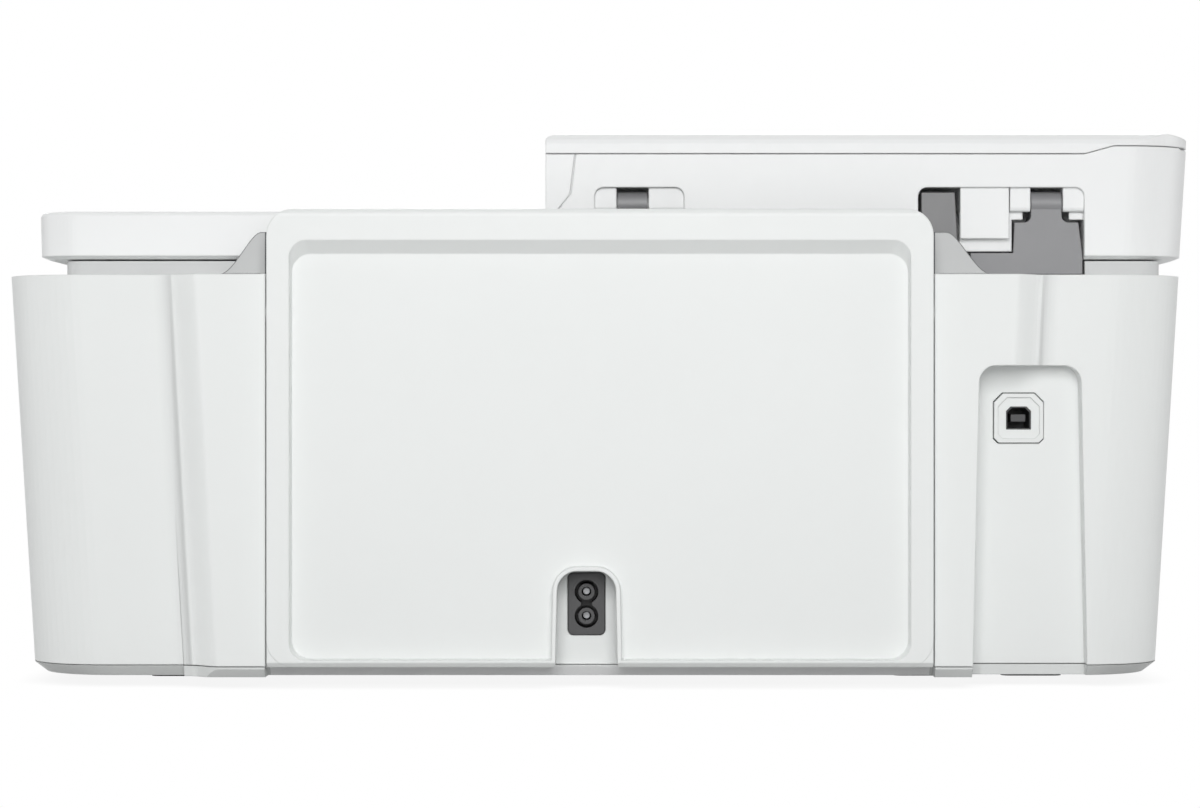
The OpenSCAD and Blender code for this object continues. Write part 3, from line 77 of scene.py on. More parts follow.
def foldRelief(tree, place, fold, shape):
    # a leaning fold in a shell, mirrored about a centre: share of the depth against mm past the fold
    parts = addNode(tree, "ShaderNodeSeparateXYZ", {}, {"Vector": place})
    across = addNode(tree, "ShaderNodeMath", {"operation": "SUBTRACT", 1: fold["centre"] * mm},
                     {0: parts.outputs["X"]})
    away = addNode(tree, "ShaderNodeMath", {"operation": "ABSOLUTE"}, {0: across.outputs["Value"]})
    foot = (fold["reach"] - fold["lean"] * fold["height"]) * mm
    line = addNode(tree, "ShaderNodeMath", {"operation": "MULTIPLY_ADD", 1: fold["lean"], 2: foot},
                   {0: parts.outputs["Z"]}, "fold line")
    past = addNode(tree, "ShaderNodeMath", {"operation": "SUBTRACT"},
                   {0: line.outputs["Value"], 1: away.outputs["Value"]}, "past the fold")
    low, high = fold["profile"][0][0], fold["profile"][-1][0]
    along = addNode(tree, "ShaderNodeMapRange", {"From Min": low * mm, "From Max": high * mm},
                    {"Value": past.outputs["Value"]})
    ramp = addNode(tree, "ShaderNodeValToRGB", {}, {"Fac": along.outputs["Result"]}, "fold profile")
    ramp.color_ramp.interpolation = "B_SPLINE"
    stops = ramp.color_ramp.elements
    for k, (at, level) in enumerate(fold["profile"]):
        spot = (at - low) / (high - low)
        stop = stops[k] if spot in (0, 1) else stops.new(spot)
        stop.color = (level, level, level, 1)
    behind = addNode(tree, "ShaderNodeMath", {"operation": "GREATER_THAN", 1: fold["behind"] * mm},
                     {0: parts.outputs["Y"]}, "rear face only")
    height = addNode(tree, "ShaderNodeMath", {"operation": "MULTIPLY"},
                     {0: ramp.outputs["Color"], 1: behind.outputs["Value"]})
    bump = addNode(tree, "ShaderNodeBump", {"Strength": 1.0, "Distance": fold["deep"] * mm},
                   {"Height": height.outputs["Value"], "Normal": shape})
    return bump.outputs["Normal"]


def moldedPlastic(name, look):
    # injection-moulded plastic: fine spark-eroded grain, slow flow mottling, eased edges
    material, tree = newMaterial(name)
    place = addNode(tree, "ShaderNodeTexCoord").outputs["Object"]
    grain = addNode(tree, "ShaderNodeTexNoise",
                    {"Scale": 1 / (look["grain"] * mm), "Detail": 2.0, "Roughness": 0.55},
                    {"Vector": place}, "tool grain")
    flow = addNode(tree, "ShaderNodeTexNoise",
                   {"Scale": 1 / (look["flow"] * mm), "Detail": 3.0, "Roughness": 0.5},
                   {"Vector": place}, "flow mottling")
    haze = addNode(tree, "ShaderNodeTexNoise",
                   {"Scale": 1 / (look["haze"] * mm), "Detail": 4.0, "Roughness": 0.7},
                   {"Vector": place}, "handling haze")
    edge = addNode(tree, "ShaderNodeBevel", {"samples": 6, "Radius": look["edge"] * mm})
    shape = edge.outputs["Normal"]
    if "fold" in look:
        shape = foldRelief(tree, place, look["fold"], shape)
    tooled = addNode(tree, "ShaderNodeBump",
                     {"Strength": look["grainStrength"], "Distance": look["grainDepth"] * mm},
                     {"Height": grain.outputs["Fac"], "Normal": shape})
    tint = addNode(tree, "ShaderNodeMix",
                   {"data_type": "RGBA", "A": toLinear(look["colour"]), "B": toLinear(look["shade"])},
                   {"Factor": flow.outputs["Fac"]}, "mottled tint")
    gloss = addNode(tree, "ShaderNodeMapRange",
                    {"From Min": 0.3, "From Max": 0.7, "To Min": look["roughness"] - 0.04,
                     "To Max": look["roughness"] + 0.05}, {"Value": haze.outputs["Fac"]})
    body = addNode(tree, "ShaderNodeBsdfPrincipled",
                   {"IOR": 1.53, "Coat Weight": look["coat"], "Coat Roughness": 0.06},
                   {"Base Color": tint.outputs["Result"], "Roughness": gloss.outputs["Result"],
                    "Normal": tooled.outputs["Normal"]})
    addNode(tree, "ShaderNodeOutputMaterial", {}, {"Surface": body.outputs["BSDF"]})
    return material


def rolledSteel(name, look):
    # plated sheet and rod: long faint rolling lines along X
    material, tree = newMaterial(name)
    place = addNode(tree, "ShaderNodeTexCoord").outputs["Object"]
    stretch = addNode(tree, "ShaderNodeMapping", {"Scale": (look["stretch"], 1.0, 1.0)},
                      {"Vector": place})
    lines = addNode(tree, "ShaderNodeTexNoise", {"Scale": 1 / (look["line"] * mm), "Detail": 3.0},
                    {"Vector": stretch.outputs["Vector"]}, "rolling lines")
    edge = addNode(tree, "ShaderNodeBevel", {"samples": 4, "Radius": look["edge"] * mm})
    relief = addNode(tree, "ShaderNodeBump", {"Strength": 0.25, "Distance": look["lineDepth"] * mm},
                     {"Height": lines.outputs["Fac"], "Normal": edge.outputs["Normal"]})
    gloss = addNode(tree, "ShaderNodeMapRange",
                    {"To Min": look["roughness"] - 0.06, "To Max": look["roughness"] + 0.08},
                    {"Value": lines.outputs["Fac"]})
    body = addNode(tree, "ShaderNodeBsdfPrincipled",
                   {"Base Color": toLinear(look["colour"]), "Metallic": 1.0},
                   {"Roughness": gloss.outputs["Result"], "Normal": relief.outputs["Normal"]})
    addNode(tree, "ShaderNodeOutputMaterial", {}, {"Surface": body.outputs["BSDF"]})
    return material


def grippyRubber(name, look):
    # ground rubber tyre: dull, with a fine grinding texture
    material, tree = newMaterial(name)
    place = addNode(tree, "ShaderNodeTexCoord").outputs["Object"]
    ground = addNode(tree, "ShaderNodeTexNoise", {"Scale": 1 / (look["grit"] * mm), "Detail": 4.0},
                     {"Vector": place}, "ground face")
    edge = addNode(tree, "ShaderNodeBevel", {"samples": 4, "Radius": look["edge"] * mm})
    relief = addNode(tree, "ShaderNodeBump", {"Strength": 0.5, "Distance": look["gritDepth"] * mm},
                     {"Height": ground.outputs["Fac"], "Normal": edge.outputs["Normal"]})
    tint = addNode(tree, "ShaderNodeMix",
                   {"data_type": "RGBA", "A": toLinear(look["colour"]), "B": toLinear(look["dusty"])},
                   {"Factor": ground.outputs["Fac"]}, "dust in the grinding")
    body = addNode(tree, "ShaderNodeBsdfPrincipled", {"Roughness": look["roughness"], "IOR": 1.52},
                   {"Base Color": tint.outputs["Result"], "Normal": relief.outputs["Normal"]})
    addNode(tree, "ShaderNodeOutputMaterial", {}, {"Surface": body.outputs["BSDF"]})
    return material


def floatGlass(name, look):
    # clear pane: straight-through for shadows, so the space below stays lit
    material, tree = newMaterial(name)
    place = addNode(tree, "ShaderNodeTexCoord").outputs["Object"]
    smear = addNode(tree, "ShaderNodeTexNoise", {"Scale": 1 / (look["smear"] * mm), "Detail": 4.0},
                    {"Vector": place}, "wiping smears")
    gloss = addNode(tree, "ShaderNodeMapRange", {"To Min": 0.01, "To Max": 0.06},
                    {"Value": smear.outputs["Fac"]})
    pane = addNode(tree, "ShaderNodeBsdfPrincipled",
                   {"Base Color": toLinear(look["colour"]), "IOR": 1.52, "Transmission Weight": 1.0},
                   {"Roughness": gloss.outputs["Result"]})
    clear = addNode(tree, "ShaderNodeBsdfTransparent", {"Color": toLinear(look["colour"])})
    ray = addNode(tree, "ShaderNodeLightPath")
    mix = addNode(tree, "ShaderNodeMixShader", {}, {0: ray.outputs["Is Shadow Ray"],
                                                    1: pane.outputs["BSDF"], 2: clear.outputs["BSDF"]})
    addNode(tree, "ShaderNodeOutputMaterial", {}, {"Surface": mix.outputs["Shader"]})
    return material


def zoneMask(tree, place, zone):
    # 1 inside the zone: spans along the axes, and a least or greatest distance from a turning axis
    parts = addNode(tree, "ShaderNodeSeparateXYZ", {}, {"Vector": place})
    tests = []
    for axis, (low, high) in zone.get("span", {}).items():
        tests.append(addNode(tree, "ShaderNodeMath", {"operation": "GREATER_THAN", 1: low * mm},
                             {0: parts.outputs[axis]}))
        tests.append(addNode(tree, "ShaderNodeMath", {"operation": "LESS_THAN", 1: high * mm},
                             {0: parts.outputs[axis]}))
    if "axis" in zone:
        keep = [0.0 if axis == zone["axis"] else 1.0 for axis in "XYZ"]
        flat = addNode(tree, "ShaderNodeVectorMath", {"operation": "MULTIPLY", 1: keep}, {0: place})
        across = dict(zip([axis for axis in "XYZ" if axis != zone["axis"]], zone["centre"]))
        centre = [across.get(axis, 0.0) * mm for axis in "XYZ"]
        away = addNode(tree, "ShaderNodeVectorMath", {"operation": "DISTANCE", 1: centre},
                       {0: flat.outputs["Vector"]})
        side = "GREATER_THAN" if "beyond" in zone else "LESS_THAN"
        limit = zone.get("beyond", zone.get("within"))
        tests.append(addNode(tree, "ShaderNodeMath", {"operation": side, 1: limit * mm},
                             {0: away.outputs["Value"]}))
    mask = tests[0]
    for test in tests[1:]:
        mask = addNode(tree, "ShaderNodeMath", {"operation": "MULTIPLY"},
                       {0: mask.outputs["Value"], 1: test.outputs["Value"]})
    return mask.outputs["Value"]


def paintRimShade(tree, look, colour):
    # painted shade: darkens the colour of the narrow rim where an edge rolls away from its flat face
    facing = addNode(tree, "ShaderNodeNewGeometry")
    rolled = addNode(tree, "ShaderNodeBevel", {"samples": 8, "Radius": look["rimWidth"] * mm})
    bend = addNode(tree, "ShaderNodeVectorMath", {"operation": "DOT_PRODUCT"},
                   {0: rolled.outputs["Normal"], 1: facing.outputs["True Normal"]})
    rim = addNode(tree, "ShaderNodeMapRange",
                  {"From Min": 0.8, "From Max": 0.99, "To Min": 1.0, "To Max": 0.0},
                  {"Value": bend.outputs["Value"]}, "rim where the edge rolls away")
    rimmed = addNode(tree, "ShaderNodeMix", {"data_type": "RGBA", "B": toLinear(look["rim"])},
                     {"Factor": rim.outputs["Result"], "A": colour})
    return rimmed.outputs["Result"]


wearPatch = 18  # mm, how wide the paler and duller patches of handling are


def zonedFinish(name, look):
    # one piece made of several stuffs: a base look, and zones that carry their own
    material, tree = newMaterial(name)
    place = addNode(tree, "ShaderNodeTexCoord").outputs["Object"]
    grain = addNode(tree, "ShaderNodeTexNoise", {"Scale": 1 / (look["grain"] * mm), "Detail": 3.0},
                    {"Vector": place}, "surface grain")
    wear = addNode(tree, "ShaderNodeTexNoise", {"Scale": 1 / (wearPatch * mm), "Detail": 4.0},
                   {"Vector": place}, "handling wear")
    colour = addNode(tree, "ShaderNodeRGB").outputs[0]
    colour.default_value = toLinear(look["colour"])
    rough = addNode(tree, "ShaderNodeValue").outputs[0]
    rough.default_value = look["roughness"]
    metal = addNode(tree, "ShaderNodeValue").outputs[0]
    metal.default_value = look.get("metallic", 0.0)
    for zone in look["zones"]:
        mask = zoneMask(tree, place, zone)
        colour = addNode(tree, "ShaderNodeMix", {"data_type": "RGBA", "B": toLinear(zone["colour"])},
                         {"Factor": mask, "A": colour}, zone["label"]).outputs["Result"]
        rough = addNode(tree, "ShaderNodeMapRange", {"To Max": zone["roughness"]},
                        {"Value": mask, "To Min": rough}).outputs["Result"]
        metal = addNode(tree, "ShaderNodeMapRange", {"To Max": zone.get("metallic", 0.0)},
                        {"Value": mask, "To Min": metal}).outputs["Result"]
    if "rim" in look:
        colour = paintRimShade(tree, look, colour)
    edge = addNode(tree, "ShaderNodeBevel", {"samples": 4, "Radius": look["edge"] * mm})
    relief = addNode(tree, "ShaderNodeBump", {"Strength": 0.3, "Distance": look["depth"] * mm},
                     {"Height": grain.outputs["Fac"], "Normal": edge.outputs["Normal"]})
    tone = addNode(tree, "ShaderNodeMapRange", {"To Min": 0.94, "To Max": 1.06},
                   {"Value": wear.outputs["Fac"]})
    worn = addNode(tree, "ShaderNodeHueSaturation", {},
                   {"Color": colour, "Value": tone.outputs["Result"]})
    gloss = addNode(tree, "ShaderNodeMath", {"operation": "MULTIPLY_ADD", 1: 0.12},
                    {0: wear.outputs["Fac"], 2: rough})
    body = addNode(tree, "ShaderNodeBsdfPrincipled", {"IOR": 1.5},
                   {"Base Color": worn.outputs["Color"], "Roughness": gloss.outputs["Value"],
                    "Metallic": metal, "Normal": relief.outputs["Normal"]})
    addNode(tree, "ShaderNodeOutputMaterial", {}, {"Surface": body.outputs["BSDF"]})
    return material


def shaftOf(jointName):
    # axis and centre in mm of what a joint of the frame turns
    joint = joints[jointName]
    axis = next(name for name, share in zip("XYZ", joint["axis"]) if abs(share) > 0.5)
    centre = [at / mm for name, at in zip("XYZ", joint["pos_m"]) if name != axis]
    return {"axis": axis, "centre": centre}


# what a user would change: colours as seen, roughness, and pattern sizes in mm
# grain and grit are drawn coarser than the real tenth of a millimetre, so that they show

whiteLook = {"colour": "#eceeed", "shade": "#e8eae9", "roughness": 0.46, "coat": 0.0, "grain": 0.32,
             "grainDepth": 0.02, "grainStrength": 0.35, "flow": 70, "haze": 3, "edge": 0.7}
whiteShell = moldedPlastic("whiteGrainedAbs", whiteLook)  # soft sheen, edges that catch the light

# in mm: the fold line is reach from the centre at height, moves out by lean for each mm upward, and is
# only behind that depth; profile: mm past the line, and the rise of the skin there as a share of deep
casingFold = {"centre": -0.45, "reach": 154.25, "height": 137, "lean": 0.055, "behind": 148, "deep": 3.9,
              "profile": [(-6, 0.0), (-4.5, 0.02), (-3, 0.09), (-1.8, 0.19), (-0.8, 0.33), (0, 0.48),
                          (0.6, 0.54), (1.4, 0.52), (3, 0.44), (6, 0.26), (9, 0.12), (12, 0.1)]}
casingLook = {**whiteLook, "fold": casingFold}
casingShell = moldedPlastic("whiteFoldedAbs", casingLook)  # the same skin with a soft fold at each side

hoodLook = {**whiteLook, "colour": "#eff0f0", "shade": "#ebecec", "roughness": 0.4, "edge": 0.8}
hoodShell = moldedPlastic("whiteSatinAbs", hoodLook)  # slightly glossier lid skin

earLook = {**whiteLook, "colour": "#c6c7c7", "shade": "#c1c2c2", "roughness": 0.45, "edge": 0.6}
earPlastic = moldedPlastic("lightGreyAbs", earLook)  # neutral grey beside the white shells

hingeLook = {**whiteLook, "colour": "#88888a", "shade": "#828284", "roughness": 0.42, "edge": 0.5}
hingePlastic = moldedPlastic("midGreyAcetal", hingeLook)  # waxy mid grey of load-bearing parts

channelLook = {**hingeLook, "colour": "#7b7b7c", "shade": "#767677"}
channelPlastic = moldedPlastic("darkerGreyAbs", channelLook)  # the cable cover, a shade below the hinges

inkLook = {**whiteLook, "colour": "#232325", "shade": "#1d1d1f", "roughness": 0.4, "edge": 0.35,
           "grainStrength": 0.25}
darkPlastic = moldedPlastic("blackGrainedAbs", inkLook)  # near black, soft highlight on edges

pianoLook = {**inkLook, "colour": "#0c0c0e", "shade": "#0a0a0c", "roughness": 0.12, "edge": 0.6,
             "grainStrength": 0.03, "coat": 0.6}
pianoPlastic = moldedPlastic("polishedBlackPlastic", pianoLook)  # mirror-like front panel

screenLook = {**pianoLook, "colour": "#14171d", "shade": "#10131a", "roughness": 0.08}
screenPlastic = moldedPlastic("tintedDisplayWindow", screenLook)  # dark, barely blue

gearLook = {**whiteLook, "colour": "#e2dfd0", "shade": "#dcd8c6", "roughness": 0.36, "edge": 0.15}
gearPlastic = moldedPlastic("naturalAcetal", gearLook)  # faintly yellow, waxy

padLook = {**whiteLook, "colour": "#f2f2ef", "shade": "#eeeeea", "roughness": 0.7, "grain": 0.6,
           "edge": 1.0}
padSheet = moldedPlastic("whiteBackingSheet", padLook)  # matt sheet behind originals

steelLook = {"colour": "#b9bcc0", "roughness": 0.3, "line": 0.5, "lineDepth": 0.004, "stretch": 0.04,
             "edge": 0.3}
platedSteel = rolledSteel("zincPlatedSteel", steelLook)  # cool grey with rolling lines

rubberLook = {"colour": "#2a2a2c", "dusty": "#3a3a3b", "roughness": 0.8, "grit": 0.25,
              "gritDepth": 0.03, "edge": 0.35}
rollerRubber = grippyRubber("groundRollerRubber", rubberLook)  # dull dark grey

footLook = {**rubberLook, "colour": "#353537", "dusty": "#454547", "roughness": 0.85}
footRubber = grippyRubber("mattFootRubber", footLook)  # dull, slightly dusty

glassLook = {"colour": "#f2f7f5", "smear": 25}
clearGlass = floatGlass("clearFloatGlass", glassLook)  # clear, with a faint green at its edges

# stuffs that several zoned pieces share
groundShaft = {"colour": "#b4b7bb", "roughness": 0.22, "metallic": 1.0, "grain": 0.4, "depth": 0.006,
               "edge": 0.2}
acetal = {"colour": "#e2dfd0", "roughness": 0.36}
moldedAcetal = {**acetal, "grain": 0.3, "depth": 0.01, "edge": 0.15}
tyre = {"colour": "#2b2b2d", "roughness": 0.82}
inkBody = {"colour": "#1f1f21", "roughness": 0.42, "grain": 0.3, "depth": 0.02, "edge": 0.4}
grainedShell = {"roughness": 0.45, "grain": 0.32, "depth": 0.02}
gearSpan = {"X": (-156, -140)}  # the gear train behind the left side plate
shaftSkin = 3.2  # mm from the axis, just outside a paper roller's steel shaft
spindleSkin = 3.3  # the same for a document roller

# bright steel ends, a dull grit coat that grips the paper, a waxy gear and a glossy coded disc
feedRollerLook = {**groundShaft, "zones": [
    {**tyre, "label": "grit coat", "colour": "#47484a", "span": {"X": (-110.4, 114.4)}},
    {**acetal, **shaftOf("feed_roller_turn"), "label": "gear", "span": gearSpan, "beyond": shaftSkin},
    {**shaftOf("feed_roller_turn"), "label": "coded disc", "colour": "#6f7a80", "roughness": 0.12,
     "span": {"X": (188.6, 190.2)}, "beyond": shaftSkin}]}
feedRollerFinish = zonedFinish("groundSteelFeedRoller", feedRollerLook)

# dull black tyres on a pale waxy core
pickRollerLook = {**moldedAcetal, "zones": [
    {**tyre, **shaftOf("pick_roller_turn"), "label": "tyres", "span": {"X": (-48, 52)}, "beyond": 9.0}]}
pickRollerFinish = zonedFinish("pickTyresOnAcetal", pickRollerLook)

# dull black tyres between bright stretches of shaft
ejectRollerLook = {**groundShaft, "zones": [
    {**tyre, **shaftOf("eject_roller_turn"), "label": "tyres", "span": {"X": (-100, 104)},
     "beyond": shaftSkin},
    {**acetal, **shaftOf("eject_roller_turn"), "label": "gear", "span": gearSpan, "beyond": shaftSkin}]}
ejectRollerFinish = zonedFinish("ejectTyresOnSteel", ejectRollerLook)

rubberSpans = {"long": {"Y": (-104, 88)}, "short": {"Y": (-60, 60)}}


def documentRollerFinish(name, jointName, length):
    # dull black rubber on the pale waxy spindle of a feeder roller
    documentRollerLook = {**moldedAcetal, "zones": [
        {**tyre, **shaftOf(jointName), "label": "tyre", "span": rubberSpans[length],
         "beyond": spindleSkin}]}
    return zonedFinish(name, documentRollerLook)


drumFinish = documentRollerFinish("documentDrumRubber", "document_drum_turn", "long")
documentPickFinish = documentRollerFinish("documentPickTyre", "document_pick_roller_turn", "short")
documentExitFinish = documentRollerFinish("documentExitTyre", "document_exit_roller_turn", "long")

labelColours = {"blackInkTank": "#3b3d40", "colourInkTank": "#2f8fb3"}


def cartridgeFinish(name):
    # black tank with a paper label, gold contacts behind and a bright nozzle plate below
    cartridgeLook = {**inkBody, "zones": [
        {"label": "paper label", "colour": labelColours[name], "roughness": 0.5,
         "span": {"Y": (-13, -11.2), "Z": (66.4, 87.6)}},
        {"label": "lid label", "colour": "#d8d9da", "roughness": 0.45,
         "span": {"Y": (-6, 24), "Z": (97.2, 98)}},
        {"label": "contacts", "colour": "#d3a84c", "roughness": 0.2, "metallic": 1.0,
         "span": {"Y": (31.2, 32), "Z": (66, 84)}},
        {"label": "nozzle plate", "colour": "#c9b27a", "roughness": 0.18, "metallic": 1.0,
         "span": {"Z": (51, 52.4)}}]}
    return zonedFinish(name, cartridgeLook)


blackInkFinish = cartridgeFinish("blackInkTank")
colourInkFinish = cartridgeFinish("colourInkTank")

# the plug-side face is pale, and the socket inside its outline is charcoal
portLook = {**grainedShell, "colour": "#e9ebea", "edge": 0.4, "zones": [
    {"label": "socket", "colour": "#39393b", "roughness": 0.4,
     "span": {"X": (-152.3, -142.1), "Y": (120, 146.3), "Z": (90.3, 99.7)}}]}
portFinish = zonedFinish("paleBezelWithSocket", portLook)

# ears are light grey above the casing; inside the tray opening and below the casing top the bay is
# coloured dark as painted shade, with a painted dark rim along its rolled edges
bayLook = {**grainedShell, "colour": "#bcbdbd", "edge": 0.45, "rim": "#4a4b4c", "rimWidth": 1.0,
           "zones": [{"label": "painted shade inside the bay", "colour": "#5b5c5e", "roughness": 0.55,
                      "span": {"X": (-116.9, 120.9)}},
                     {"label": "painted shade below the casing top", "colour": "#2f3031", "roughness": 0.6,
                      "span": {"Z": (3, 145.4)}}]}
bayFinish = zonedFinish("lightGreyBay", bayLook)

# duller than the casing, with its colour darkened as painted shade on the underside, and whiter along
# the lip under the tray as painted light
panLook = {**grainedShell, "colour": "#dadcdb", "roughness": 0.5, "edge": 0.5, "zones": [
    {"label": "painted light on the lip under the tray", "colour": "#fcfdfd", "roughness": 0.5,
     "span": {"X": (-115, 119), "Y": (140, 175)}}]}
panFinish = zonedFinish("panAbsPaintedShadeAndLight", panLook)

# under the lid the white neck carries painted shade, a darker grey than the shells
neckLook = {**grainedShell, "colour": "#eceeed", "roughness": 0.46, "edge": 0.6, "zones": [
    {"label": "neck", "colour": "#cccdcd", "roughness": 0.5, "span": {"Z": (145.9, 153)}}]}
neckFinish = zonedFinish("whiteAbsPaintedNeckShade", neckLook)

# satin green solder mask, glossy black chips, cream connectors
boardLook = {"colour": "#1f5a38", "roughness": 0.35, "grain": 0.8, "depth": 0.03, "edge": 0.15,
             "zones": [{"label": "chips", "colour": "#17181a", "roughness": 0.3,
                        "span": {"Y": (120, 125.9)}},
                       {"label": "connector", "colour": "#e6e2d6", "roughness": 0.4,
                        "span": {"Y": (127.7, 140)}}]}
boardFinish = zonedFinish("populatedBoard", boardLook)

# charcoal body with two dull bright pins
inletPin = {"colour": "#8f9092", "roughness": 0.3, "metallic": 1.0, "axis": "Y", "within": 1.25}
inletLook = {"colour": "#3d3d3e", "roughness": 0.38, "grain": 0.25, "depth": 0.015, "edge": 0.12,
             "zones": [{**inletPin, "label": "upper pin", "centre": [6.8, 33.3]},
                       {**inletPin, "label": "lower pin", "centre": [6.8, 24.7]}]}
inletFinish = zonedFinish("inletCharcoal", inletLook)

# black housing with a clear glossy light guide along its top
scanBarLook = {**inkBody, "zones": [
    {"label": "light guide", "colour": "#dfe8ea", "roughness": 0.1,
     "span": {"X": (-168.2, -163.8), "Z": (143.2, 145.4)}}]}
scanBarFinish = zonedFinish("scanBarBlack", scanBarLook)

# mid grey sledge with dull black rubber lips around the caps
stationLook = {"colour": "#8b8c8e", "roughness": 0.5, "grain": 0.3, "depth": 0.02, "edge": 0.4,
               "zones": [{**tyre, "label": "cap lips", "span": {"Z": (44.1, 52)}}]}
stationFinish = zonedFinish("serviceStationGrey", stationLook)

finishes = {
    "outer_casing": casingShell, "base_pan": panFinish, "foot_pads": footRubber,
    "paper_bay": bayFinish, "input_tray": whiteShell, "paper_width_guide": earPlastic,
    "print_frame": platedSteel, "pick_roller": pickRollerFinish, "feed_roller": feedRollerFinish,
    "eject_roller": ejectRollerFinish, "pinch_rollers": darkPlastic, "pick_idler_gear": gearPlastic,
    "eject_idler_gear": gearPlastic, "motor_pinion": gearPlastic, "feed_motor": platedSteel,
    "platen": darkPlastic, "guide_rods": platedSteel, "carriage": darkPlastic,
    "black_cartridge": blackInkFinish, "color_cartridge": colourInkFinish, "black_latch": hingePlastic,
    "color_latch": hingePlastic, "drive_belt": rollerRubber, "motor_pulley": platedSteel,
    "idler_pulley": gearPlastic, "carriage_motor": platedSteel, "encoder_strip": clearGlass,
    "service_station": stationFinish, "main_board": boardFinish, "power_supply": darkPlastic,
    "power_inlet": inletFinish, "usb_port": portFinish, "scanner_frame": neckFinish,
    "scan_glass": clearGlass, "scan_bar": scanBarFinish, "lid_base": hoodShell,
    "backing_pad": padSheet, "feeder_cover": hoodShell, "document_tray": earPlastic,
    "document_extender": earPlastic, "front_document_guide": earPlastic,
    "rear_document_guide": earPlastic, "guide_pinion": gearPlastic,
    "document_pick_roller": documentPickFinish, "document_drum": drumFinish,
    "document_exit_roller": documentExitFinish, "document_exit_gear": gearPlastic,
    "document_pick_gear": gearPlastic, "feeder_pinion": gearPlastic, "feeder_motor": platedSteel,
    "lid_hinges": hingePlastic, "cable_channel": channelPlastic, "control_panel": pianoPlastic,
    "display_window": screenPlastic, "button_1": earPlastic, "button_2": earPlastic,
    "button_3": earPlastic, "cartridge_door": whiteShell, "output_tray": earPlastic,
    "tray_stop": earPlastic,
}
for nodeName, finish in finishes.items():
    piece = nodes[nodeName]
    piece.data.materials.clear()
    piece.data.materials.append(finish)
print("finishes set on", len(finishes), "pieces")

# real radii on moulded edges, in mm
edgeRadii = {
    "outer_casing": 0.9, "base_pan": 0.6, "paper_bay": 0.8, "input_tray": 1.0, "lid_base": 0.7,
    "feeder_cover": 0.5, "lid_hinges": 0.5, "cable_channel": 0.4, "power_inlet": 0.12,
    "usb_port": 0.25, "scanner_frame": 0.8, "control_panel": 0.8, "cartridge_door": 0.8,
    "output_tray": 0.8, "tray_stop": 0.5, "document_tray": 0.7, "document_extender": 0.4,
    "front_document_guide": 0.25, "rear_document_guide": 0.25, "carriage": 0.5,
    "black_cartridge": 0.5, "color_cartridge": 0.5, "service_station": 0.5, "foot_pads": 0.5,
    "paper_width_guide": 0.4,
}
rounding = {"flatWithin": 1.0, "sharpFrom": 35, "segments": 3, "faceWeight": 60}  # angles in degrees


def roundEdges(piece, radius):
    # joins the flat triangles, rolls the sharp edges over and shades the flats evenly
    flat = piece.modifiers.new("joinFlats", "DECIMATE")
    flat.decimate_type = "DISSOLVE"
    flat.angle_limit = math.radians(rounding["flatWithin"])
    rolled = piece.modifiers.new("moldRadius", "BEVEL")
    rolled.width = radius * mm
    rolled.segments = rounding["segments"]
    rolled.limit_method = "ANGLE"
    rolled.angle_limit = math.radians(rounding["sharpFrom"])
    rolled.use_clamp_overlap = True
    rolled.miter_outer = "MITER_ARC"
    rolled.harden_normals = False
    evened = piece.modifiers.new("evenShading", "WEIGHTED_NORMAL")
    evened.keep_sharp = True
    evened.weight = rounding["faceWeight"]


for nodeName, radius in edgeRadii.items():
    roundEdges(nodes[nodeName], radius)
print("edges rounded on", len(edgeRadii), "pieces")

# square lower corners of the rear tray, beside its rounded outline, in mm: radius is the tray's own and
# lap goes past it, ease rolls the face's lower edge, skin keeps the face just under the tray's, and rise
# lifts the rear edge
trayCorner = {"centre": 2, "half": 116.95, "low": 7.6, "back": 152.4, "face": 166, "radius": 9.5,
              "lap": 1.3, "ease": 1.6, "skin": 0.02, "rise": 1, "turns": 10}


def makeTrayCorner(name, side):
    radius = trayCorner["radius"] + trayCorner["lap"]
    half, low, ease = trayCorner["half"], trayCorner["low"], trayCorner["ease"]
    outline = [(half, low)]
    for k in range(trayCorner["turns"] + 1):
        turn = k * math.pi / 2 / trayCorner["turns"]
        outline.append((half - radius + radius * math.cos(turn), low + radius - radius * math.sin(turn)))
    sections = [(trayCorner["back"], low + trayCorner["rise"]), (trayCorner["face"] - ease, low),
                (trayCorner["face"] - trayCorner["skin"], low + ease)]
    points = [((trayCorner["centre"] + side * x) * mm, y * mm, max(z, floor) * mm)
              for y, floor in sections for x, z in outline]
    count = len(outline)
    faces = []
    for row in range(len(sections) - 1):
        for k in range(count):
            a, b = row * count + k, row * count + (k + 1) % count
            faces.append((a, b, b + count, a + count))
    faces += [tuple(range(count)), tuple(range(len(points) - count, len(points)))]
    mesh = bpy.data.meshes.new("trayCorner")
    mesh.from_pydata(points, [], faces)
    shape = bmesh.new()
    shape.from_mesh(mesh)
    bmesh.ops.remove_doubles(shape, verts=shape.verts, dist=0.01 * mm)
    bmesh.ops.recalc_face_normals(shape, faces=shape.faces)
    shape.to_mesh(mesh)
    shape.free()
    mesh.materials.append(whiteShell)
    piece = bpy.data.objects.new(name, mesh)
    bpy.context.collection.objects.link(piece)
    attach(piece, "input_tray")


makeTrayCorner("trayCornerRight", -1)
makeTrayCorner("trayCornerLeft", 1)
print("tray corners squared")


def directRays(tree):
    # 1 where the eye, a reflection or glass looks at the background; 0 for light on the object
    ray = addNode(tree, "ShaderNodeLightPath")
    mirrored = addNode(tree, "ShaderNodeMath", {"operation": "MAXIMUM"},
                       {0: ray.outputs["Is Camera Ray"], 1: ray.outputs["Is Glossy Ray"]})
    through = addNode(tree, "ShaderNodeMath", {"operation": "MAXIMUM"},
                      {0: mirrored.outputs["Value"], 1: ray.outputs["Is Transmission Ray"]})
    return through.outputs["Value"]


# half: m from the middle to the rim; contact: mm around the object that darken, down to darkest
floorLook = {"half": 30, "colour": "#c6c6c6", "contact": 12, "darkest": 0.9}


